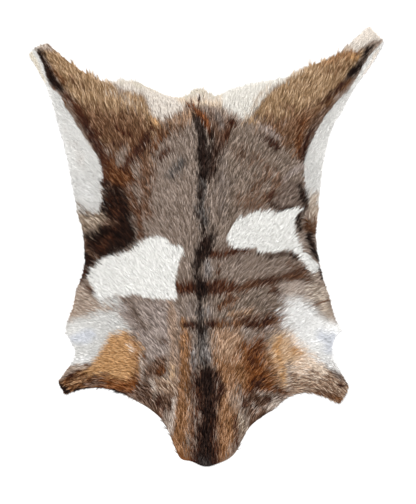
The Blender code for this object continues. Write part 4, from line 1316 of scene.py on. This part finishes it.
def skin_mesh(rim, depth_map, colours):
    """The tanned skin: the flat hide extruded to its thickness, on the curls of its rim. Its hair side
    has the colour of the hair's roots, darkened as painted shade under the pile."""
    inner = lattice(SKIN_STEP)
    mesh = flat_hide(rim, inner[depth_map.at(inner) > RIM_CLEARANCE * SKIN_STEP])
    lower = list(mesh.verts)
    raised = bmesh.ops.extrude_face_region(mesh, geom=list(mesh.faces), use_keep_orig=True)
    upper = [item for item in raised["geom"] if isinstance(item, bmesh.types.BMVert)]
    for face in (item for item in raised["geom"] if isinstance(item, bmesh.types.BMFace)):
        face.material_index = 1
    for group, thickness in ((lower, 0.0), (upper, SKIN_THICKNESS)):
        places = np.array([vertex.co.xy for vertex in group])
        for vertex, place in zip(group, in_metres(places, skin_lift(places) + thickness)):
            vertex.co = place
    bmesh.ops.recalc_face_normals(mesh, faces=list(mesh.faces))
    data = bpy.data.meshes.new("skin")
    mesh.to_mesh(data)
    mesh.free()
    places = np.array([vertex.co.xy for vertex in data.vertices]) / (ACROSS_SCALE, ALONG_SCALE)
    _, root = coat_colours(places, EVEN_CHANCE, colours)
    # Painted shade: the skin between the roots is darker than the roots' own paint.
    paint_points(data, root**SKIN_PAINTED_SHADE_POWER)
    data.shade_smooth()
    data.set_sharp_from_angle(angle=math.radians(SHARP_ANGLE))
    return data


def lock_places(sizes, depth_map, rng):
    """Where the locks grow: an uneven three-way lattice over the whole hide."""
    places = lattice(sizes.lock_step)
    places += rng.uniform(-1, 1, places.shape) * LOCK_STRAY * sizes.lock_step
    return places[depth_map.at(places) > LOCK_CLEARANCE]


def reach_to_rim(places, heading, length, overhang, depth_map):
    """Each length, cut so that the tip passes the rim by no more than its overhang."""
    kept = length.copy()
    for share in np.arange(1.0, 0.0, -CUT_STEP):
        tips = places + (length * share)[:, None] * way_of(heading)
        outside = depth_map.at(tips) < -overhang
        kept = np.where(outside, np.minimum(kept, length * (share - CUT_STEP)), kept)
    return np.maximum(kept, SHORTEST_HAIR)


Locks = namedtuple("Locks", "places heading flow length height bend tone chance fine depth_map")
Hairs = namedtuple("Hairs", "root middle tip lock")


def hairs_of(locks, sizes, count, guard, rng):
    """Arrays for count hairs of each lock: root, middle and tip in chart millimetres with heights."""
    many = len(locks.places) * count
    turn = sizes.lay_stray * GUARD_TURN if guard else UNDER_TURN
    way = way_of(np.repeat(locks.heading, count) + np.radians(rng.normal(0, turn, many)))
    side = np.stack([-way[:, 1], way[:, 0]], 1)
    centre = np.repeat(locks.places, count, axis=0)
    apart = rng.uniform(-1, 1, many) * LOCK_HALF_WIDTH
    ahead = rng.uniform(-1, 1, many) * LOCK_HALF_LENGTH
    length = np.repeat(locks.length, count) * rng.uniform(*HAIR_LENGTHS_IN_LOCK, many)
    height = np.repeat(locks.height, count) * rng.uniform(*HAIR_HEIGHTS_IN_LOCK, many)
    bend = (np.repeat(locks.bend, count) + rng.normal(0, HAIR_BEND, many)) * length
    closing = GUARD_CLOSING if guard else UNDER_CLOSING
    if not guard:
        length = length * UNDER_LENGTH
        height = height * UNDER_HEIGHT
    root = centre + ahead[:, None] * way + apart[:, None] * side
    root = np.where((locks.depth_map.at(root) > ROOT_CLEARANCE)[:, None], root, centre)
    reach = np.sqrt(np.maximum(length**2 - height**2, (LEAST_REACH * length) ** 2))
    tip = centre + (TIP_AHEAD * ahead + reach)[:, None] * way + (apart * closing + bend)[:, None] * side
    middle = (root + tip) / 2 - (MIDDLE_BOW * bend)[:, None] * side
    ground = SKIN_THICKNESS + skin_lift(root)
    ends = SKIN_THICKNESS + skin_lift(tip)
    return Hairs(
        root=np.column_stack([root, ground - ROOT_SINK]),
        middle=np.column_stack([middle, (ground + ends) / 2 + MID_HEIGHT * height]),
        tip=np.column_stack([tip, ends + height]),
        lock=np.repeat(np.arange(len(locks.places)), count),
    )


def grow_locks(sizes, rim, overhangs, depth_map, rng):
    """The locks of the whole coat."""
    places = lock_places(sizes, depth_map, rng)
    count = len(places)
    depth = depth_map.at(places)
    fine = np.clip(faded(places, FINE_HAIR), 0, 1)
    calm = 1 - FINE_CALM * fine
    flow = lay_at(places) + np.radians(calm * drifts(places, LAY_DRIFTS))
    heading = flow + np.radians(calm * rng.normal(0, sizes.lay_stray, count))
    length = (sizes.hair_length + faded(places, HAIR_LENGTHS)) * rng.uniform(*LOCK_LENGTHS, count)
    exits = places + length[:, None] * way_of(heading)
    near = np.array([
        np.argmin(((rim - exits[k]) ** 2).sum(1)) if depth[k] < RIM_REACH else 0 for k in range(count)
    ])
    bunches = np.clip(drifts(exits, FRINGE_DRIFTS), 0, 1) * rng.uniform(*FRINGE_LENGTHS, count)
    stragglers = rng.uniform(0, 1, count) ** STRAGGLER_POWER
    least = np.minimum(LEAST_OVERHANG, overhangs[near])
    overhang = least + (overhangs[near] - least) * np.maximum(bunches, stragglers)
    length = reach_to_rim(places, heading, length, overhang, depth_map)
    stand = np.clip(rng.normal(0, 1, count), -STAND_LIMIT, STAND_LIMIT) * calm
    height = pile_height(places, depth) * (MEAN_HEIGHT + HEIGHT_SPREAD * stand) * (1 - FINE_FLATNESS * fine)
    height = np.minimum(height, STEEPEST * length)
    bend = rng.normal(0, LOCK_BEND, count)
    # Painted shade: locks that stand lower get a darker tone, and higher ones a lighter tone.
    tone = LOCK_HEIGHT_PAINTED_SHADE * stand + calm * rng.normal(0, LOCK_TONE_SPREAD, count)
    tone += drifts(places, TONE_DRIFTS)
    chance = EVEN_CHANCE + drifts(places, CHANCE_DRIFTS)
    return Locks(places, heading, flow, length, height, bend, tone, chance, fine, depth_map)


def with_tufts(locks, rng):
    """The coat's locks and then the tufts' own."""
    rows = [tuft for tuft in TUFTS for _ in range(TUFT_LOCKS)]
    many = len(rows)
    places = np.array([(row.across, row.along) for row in rows]) + rng.normal(0, TUFT_SPREAD, (many, 2))
    length = np.array([row.length for row in rows]) * rng.uniform(*TUFT_LENGTHS, many)
    heading = np.radians([row.heading for row in rows] + rng.normal(0, TUFT_STRAY, many))
    added = Locks(
        places=places,
        heading=heading,
        flow=heading,
        length=length,
        height=TUFT_RISE * pile_height(places, locks.depth_map.at(places)),
        bend=rng.normal(0, TUFT_BEND, many),
        tone=rng.normal(0, LOCK_TONE_SPREAD, many),
        chance=np.full(many, EVEN_CHANCE),
        fine=np.zeros(many),
        depth_map=locks.depth_map,
    )
    joined = [np.concatenate([old, new]) for old, new in zip(locks[:-1], added[:-1])]
    return Locks(*joined, locks.depth_map)


def strand_arrays(hairs, width, two_parts):
    """Vertices and triangles of closed three-sided strands, tapered to a point."""
    root, middle, tip = hairs.root, hairs.middle, hairs.tip
    way = (tip if not two_parts else middle) - root
    way /= np.linalg.norm(way, axis=1)[:, None]
    side = np.cross(way, (0, 0, 1.0))
    side /= np.linalg.norm(side, axis=1)[:, None]
    over = np.cross(side, way)
    rings = [(root, 1.0)] + ([(middle, MID_WIDTH)] if two_parts else [])
    points = []
    for centre, share in rings:
        radius = (width * share / 2)[:, None]
        for turn in STRAND_CORNERS:
            points.append(
                centre + radius * (math.cos(turn) * side + HAIR_FLATNESS * math.sin(turn) * over))
    points.append(tip)
    vertices = np.stack(points, 1)
    sides = ((0, 1), (1, 2), (2, 0))
    faces = [(0, 1, 2)]
    for ring in range(len(rings) - 1):
        for a, b in sides:
            low, high = 3 * ring, 3 * ring + 3
            faces += [(low + a, high + a, high + b), (low + a, high + b, low + b)]
    last = 3 * len(rings)
    for a, b in sides:
        faces.append((last - 3 + a, last, last - 3 + b))
    per_hair = vertices.shape[1]
    starts = per_hair * np.arange(len(vertices))[:, None, None]
    triangles = (np.array(faces)[None] + starts).reshape(-1, 3)
    return vertices, triangles


def strand_colours(hairs, locks, colours, two_parts, rng):
    """A linear colour for every vertex of the strands."""
    many = len(hairs.root)
    calm = 1 - FINE_CALM * locks.fine[hairs.lock]
    seen = (1 - COLOUR_POINT) * hairs.root[:, :2] + COLOUR_POINT * hairs.tip[:, :2]
    flow = locks.flow[hairs.lock]
    chance = locks.chance[hairs.lock] + CHANCE_SPREAD * streaks(seen, flow, CHANCE_STREAK_SEED)
    chance = EVEN_CHANCE + calm * (chance + rng.normal(0, CHANCE_STRAY, many) - EVEN_CHANCE)
    tip, root = coat_colours(seen, np.clip(chance, LEAST_CHANCE, 1 - LEAST_CHANCE), colours)
    uneven = STREAK_TONE_SPREAD * streaks(seen, flow, TONE_STREAK_SEED)
    uneven += rng.normal(0, HAIR_TONE_SPREAD, many)
    tone = TIP_TONE + locks.tone[hairs.lock] + calm * uneven
    tone = np.clip(tone, DARKEST_TONE, LIGHTEST_TONE)[:, None] * (1.0 if two_parts else UNDER_TONE)
    step = tip.mean(1, keepdims=True) / root.mean(1, keepdims=True)
    shares = [ROOT_TONE * tone] * 3 + ([MID_TONE * tone] * 3 if two_parts else []) + [tone]
    kept = [np.clip(share, 0, 1) for share in shares]
    return np.stack([root * (tip / root) ** k * step ** (share - k) for k, share in zip(kept, shares)], 1)


def coat_mesh(name, parts):
    """One mesh from several sets of strands, with the coat's colours and a map of the plan."""
    vertices, triangles, colours = [], [], []
    base = 0
    for points, faces, paint in parts:
        vertices.append(points.reshape(-1, 3))
        triangles.append(faces + base)
        colours.append(paint.reshape(-1, 3))
        base += len(vertices[-1])
    vertices = np.concatenate(vertices)
    triangles = np.concatenate(triangles)
    colours = np.concatenate(colours)
    data = bpy.data.meshes.new(name)
    data.vertices.add(len(vertices))
    data.vertices.foreach_set("co", in_metres(vertices[:, :2], vertices[:, 2]).astype(np.float32).ravel())
    data.loops.add(triangles.size)
    data.loops.foreach_set("vertex_index", triangles.astype(np.int32).ravel())
    data.polygons.add(len(triangles))
    data.polygons.foreach_set("loop_start", np.arange(0, triangles.size, 3, dtype=np.int32))
    data.update(calc_edges=True)
    paint_points(data, colours)
    plan = data.uv_layers.new(name="OFBake", do_init=False)
    low, high = vertices[:, :2].min(0), vertices[:, :2].max(0)
    flat = ((vertices[:, :2] - low) / (high - low))[triangles.ravel()]
    plan.uv.foreach_set("vector", flat.astype(np.float32).ravel())
    data.shade_smooth()
    return data


def part_of(hairs, chosen):
    """The chosen ones of these hairs."""
    return Hairs(*(column[chosen] for column in hairs))


def node(tree, kind, settings=(), links=()):
    """Adds a node, sets its fields and inputs, and links what feeds it."""
    made = tree.nodes.new(kind)
    for name, value in settings:
        if hasattr(made, name):
            setattr(made, name, value)
        else:
            made.inputs[name].default_value = value
    for name, source in links:
        tree.links.new(source, made.inputs[name])
    return made


def new_material(name):
    """A material and its empty node tree."""
    material = bpy.data.materials.new(name)
    material.use_nodes = True
    material.node_tree.nodes.clear()
    return material, material.node_tree


def coat_paint(tree):
    """The colour that each vertex of the coat has."""
    paint = node(tree, "ShaderNodeAttribute", [("attribute_name", "coat"), ("attribute_type", "GEOMETRY")])
    return paint.outputs["Color"]


def noise(tree, size, detail, roughness):
    """Noise with grains of this size in millimetres, from the object's own coordinates."""
    place = node(tree, "ShaderNodeTexCoord")
    grains = node(
        tree, "ShaderNodeTexNoise",
        [("Scale", 1 / (size * MM)), ("Detail", detail), ("Roughness", roughness)],
        [("Vector", place.outputs["Object"])])
    return grains.outputs["Fac"]


def surface(tree, settings, links=()):
    """Adds the principled shader and the output that it feeds."""
    shader = node(tree, "ShaderNodeBsdfPrincipled", settings, links)
    node(tree, "ShaderNodeOutputMaterial", [], [("Surface", shader.outputs["BSDF"])])


def goat_hair_material():
    """Dressed goat hair: a soft gloss along each strand, and fine lighter and darker hairs in it."""
    material, tree = new_material("dressed_goat_hair")
    strength = node(
        tree, "ShaderNodeMapRange", [("To Min", 0.92), ("To Max", 1.08)],
        [("Value", noise(tree, FIBRE_SIZE, 2, 0.6))])
    lit = node(
        tree, "ShaderNodeVectorMath", [("operation", "SCALE")],
        [("Vector", coat_paint(tree)), ("Scale", strength.outputs["Result"])])
    surface(
        tree, [("Roughness", 0.5), ("Specular IOR Level", 0.1)], [("Base Color", lit.outputs["Vector"])])
    return material


def grain_material():
    """The skin's hair side between the roots: matt, the colour of the hair there with painted shade."""
    material, tree = new_material("goatskin_grain_with_underwool")
    surface(tree, [("Roughness", 0.9), ("Specular IOR Level", 0.1)], [("Base Color", coat_paint(tree))])
    return material


def suede_material(colours):
    """Chrome-tanned goat leather, flesh side: a matt nap, mottled and a little uneven."""
    material, tree = new_material("tanned_goat_suede")
    tint = node(
        tree, "ShaderNodeMix", [("data_type", "RGBA")], [("Factor", noise(tree, SUEDE_CLOUD_SIZE, 4, 0.62))])
    tint.inputs[MIX_A].default_value = (*colours.suede, 1)
    tint.inputs[MIX_B].default_value = (*colours.skin, 1)
    bump = node(
        tree, "ShaderNodeBump", [("Strength", 0.5), ("Distance", NAP_DEPTH * MM)],
        [("Height", noise(tree, NAP_SIZE, 3, 0.7))])
    surface(
        tree,
        [("Roughness", 0.9), ("Specular IOR Level", 0.25), ("Sheen Weight", 0.25), ("Sheen Roughness", 0.6)],
        [("Base Color", tint.outputs[MIX_RESULT]), ("Normal", bump.outputs["Normal"])])
    return material


def floor_material():
    """Matt white paint: it takes the hide's soft shadow and has no gloss."""
    material, tree = new_material("matt_white_floor")
    surface(
        tree, [("Base Color", (*linear(FLOOR_COLOUR), 1)), ("Roughness", 0.9), ("Specular IOR Level", 0.0)])
    return material


def link_piece(name, data):
    """Adds a finished mesh as a piece of the hide."""
    piece = bpy.data.objects.new(name, data)
    bpy.context.scene.collection.objects.link(piece)
    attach(piece, BODY)
    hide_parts(NODE)
    return piece


def add_floor(scene):
    """A wide flat floor just under the hide."""
    mesh = bmesh.new()
    bmesh.ops.create_grid(mesh, x_segments=1, y_segments=1, size=FLOOR_REACH)
    bmesh.ops.translate(mesh, vec=(0, 0, -FLOOR_DROP), verts=mesh.verts)
    data = bpy.data.meshes.new("floor")
    mesh.to_mesh(data)
    mesh.free()
    data.materials.append(floor_material())
    floor = bpy.data.objects.new("floor", data)
    scene.collection.objects.link(floor)


def add_lights(scene):
    """A white sky and the soft lamps, which all shine on the hide's middle."""
    world = bpy.data.worlds.new("studio")
    world.use_nodes = True
    background = world.node_tree.nodes["Background"]
    background.inputs["Color"].default_value = (1, 1, 1, 1)
    background.inputs["Strength"].default_value = SKY_STRENGTH
    scene.world = world
    for row in LAMPS:
        lamp = bpy.data.lights.new(row.name, "AREA")
        lamp.shape = "DISK"
        lamp.size = row.size
        lamp.energy = row.watts
        holder = bpy.data.objects.new(row.name, lamp)
        holder.location = row.place
        holder.rotation_euler = (-Vector(row.place)).to_track_quat("-Z", "Y").to_euler()
        scene.collection.objects.link(holder)


def add_camera(scene):
    """The camera straight above, with the lens that gives the photo's scale on the floor."""
    lens = bpy.data.cameras.new("camera")
    lens.sensor_width = SENSOR
    lens.lens = SENSOR * CAMERA_HEIGHT / (PHOTO_PIXEL * max(PHOTO_WIDTH, PHOTO_HEIGHT))
    camera = bpy.data.objects.new("camera", lens)
    camera.location = (CAMERA_ACROSS, CAMERA_ALONG, CAMERA_HEIGHT)
    scene.collection.objects.link(camera)
    scene.camera = camera


class GOATSKIN_OT_skin(Operator):
    """Cut the tanned skin that the hair grows from."""

    bl_idname = "goatskin.skin"
    bl_label = "Skin"

    def execute(self, context):
        colours = context.scene.goatskin_colours
        rim, _ = rim_of(outline_curve())
        data = skin_mesh(rim, DepthMap(rim), colours)
        data.materials.append(suede_material(colours))
        data.materials.append(grain_material())
        link_piece("skin", data)
        return {"FINISHED"}


class GOATSKIN_OT_coat(Operator):
    """Grow the coat of lying hair, in bands from the neck to the haunches."""

    bl_idname = "goatskin.coat"
    bl_label = "Coat of hair"

    def execute(self, context):
        settings = context.scene.goatskin_sizes
        colours = context.scene.goatskin_colours
        sizes = chart_sizes(settings)
        rng = np.random.default_rng(settings.seed)
        rim, overhangs = rim_of(outline_curve())
        depth_map = DepthMap(rim)
        locks = with_tufts(grow_locks(sizes, rim, overhangs, depth_map, rng), rng)
        material = goat_hair_material()
        kinds = []
        for count, guard in ((GUARD_HAIRS, True), (UNDER_HAIRS, False)):
            hairs = hairs_of(locks, sizes, count, guard, rng)
            width = sizes.hair_width * rng.uniform(*HAIR_WIDTHS, len(hairs.root))
            width *= 1 - FINE_THINNESS * locks.fine[hairs.lock]
            paint = strand_colours(hairs, locks, colours, guard, rng)
            kinds.append((hairs, width, guard, paint))
        order = np.argsort(locks.places[:, 1], kind="stable")
        for name, band in zip(BANDS, np.array_split(order, len(BANDS))):
            chosen_locks = np.zeros(len(locks.places), bool)
            chosen_locks[band] = True
            parts = []
            for hairs, width, guard, paint in kinds:
                chosen = chosen_locks[hairs.lock]
                points, faces = strand_arrays(part_of(hairs, chosen), width[chosen], guard)
                parts.append((points, faces, paint[chosen]))
            data = coat_mesh("hair_" + name, parts)
            data.materials.append(material)
            link_piece("hair_" + name, data)
        return {"FINISHED"}


class GOATSKIN_OT_stage(Operator):
    """Set the pale floor, the soft lights and the camera straight above."""

    bl_idname = "goatskin.stage"
    bl_label = "Stage"

    def execute(self, context):
        scene = context.scene
        add_floor(scene)
        add_lights(scene)
        add_camera(scene)
        scene.view_settings.view_transform = "Standard"
        return {"FINISHED"}


class GOATSKIN_PT_panel(Panel):
    """The goatskin's sizes, colours and pieces."""

    bl_idname = "GOATSKIN_PT_panel"
    bl_label = "Goatskin"
    bl_space_type = "VIEW_3D"
    bl_region_type = "UI"
    bl_category = "Goatskin"

    def draw(self, context):
        for settings in (context.scene.goatskin_sizes, context.scene.goatskin_colours):
            box = self.layout.box()
            for name in settings.__annotations__:
                box.prop(settings, name)
        for operator in (GOATSKIN_OT_skin, GOATSKIN_OT_coat, GOATSKIN_OT_stage):
            self.layout.operator(operator.bl_idname)


CLASSES = (
    GoatskinSizes, GoatskinColours, GOATSKIN_OT_skin, GOATSKIN_OT_coat, GOATSKIN_OT_stage, GOATSKIN_PT_panel)


def register():
    for kind in CLASSES:
        bpy.utils.register_class(kind)
    bpy.types.Scene.goatskin_sizes = PointerProperty(type=GoatskinSizes)
    bpy.types.Scene.goatskin_colours = PointerProperty(type=GoatskinColours)


def unregister():
    del bpy.types.Scene.goatskin_colours
    del bpy.types.Scene.goatskin_sizes
    for kind in reversed(CLASSES):
        bpy.utils.unregister_class(kind)


def main():
    register()
    bpy.ops.goatskin.skin()
    bpy.ops.goatskin.coat()
    bpy.ops.goatskin.stage()


if __name__ == "__main__":
    main()
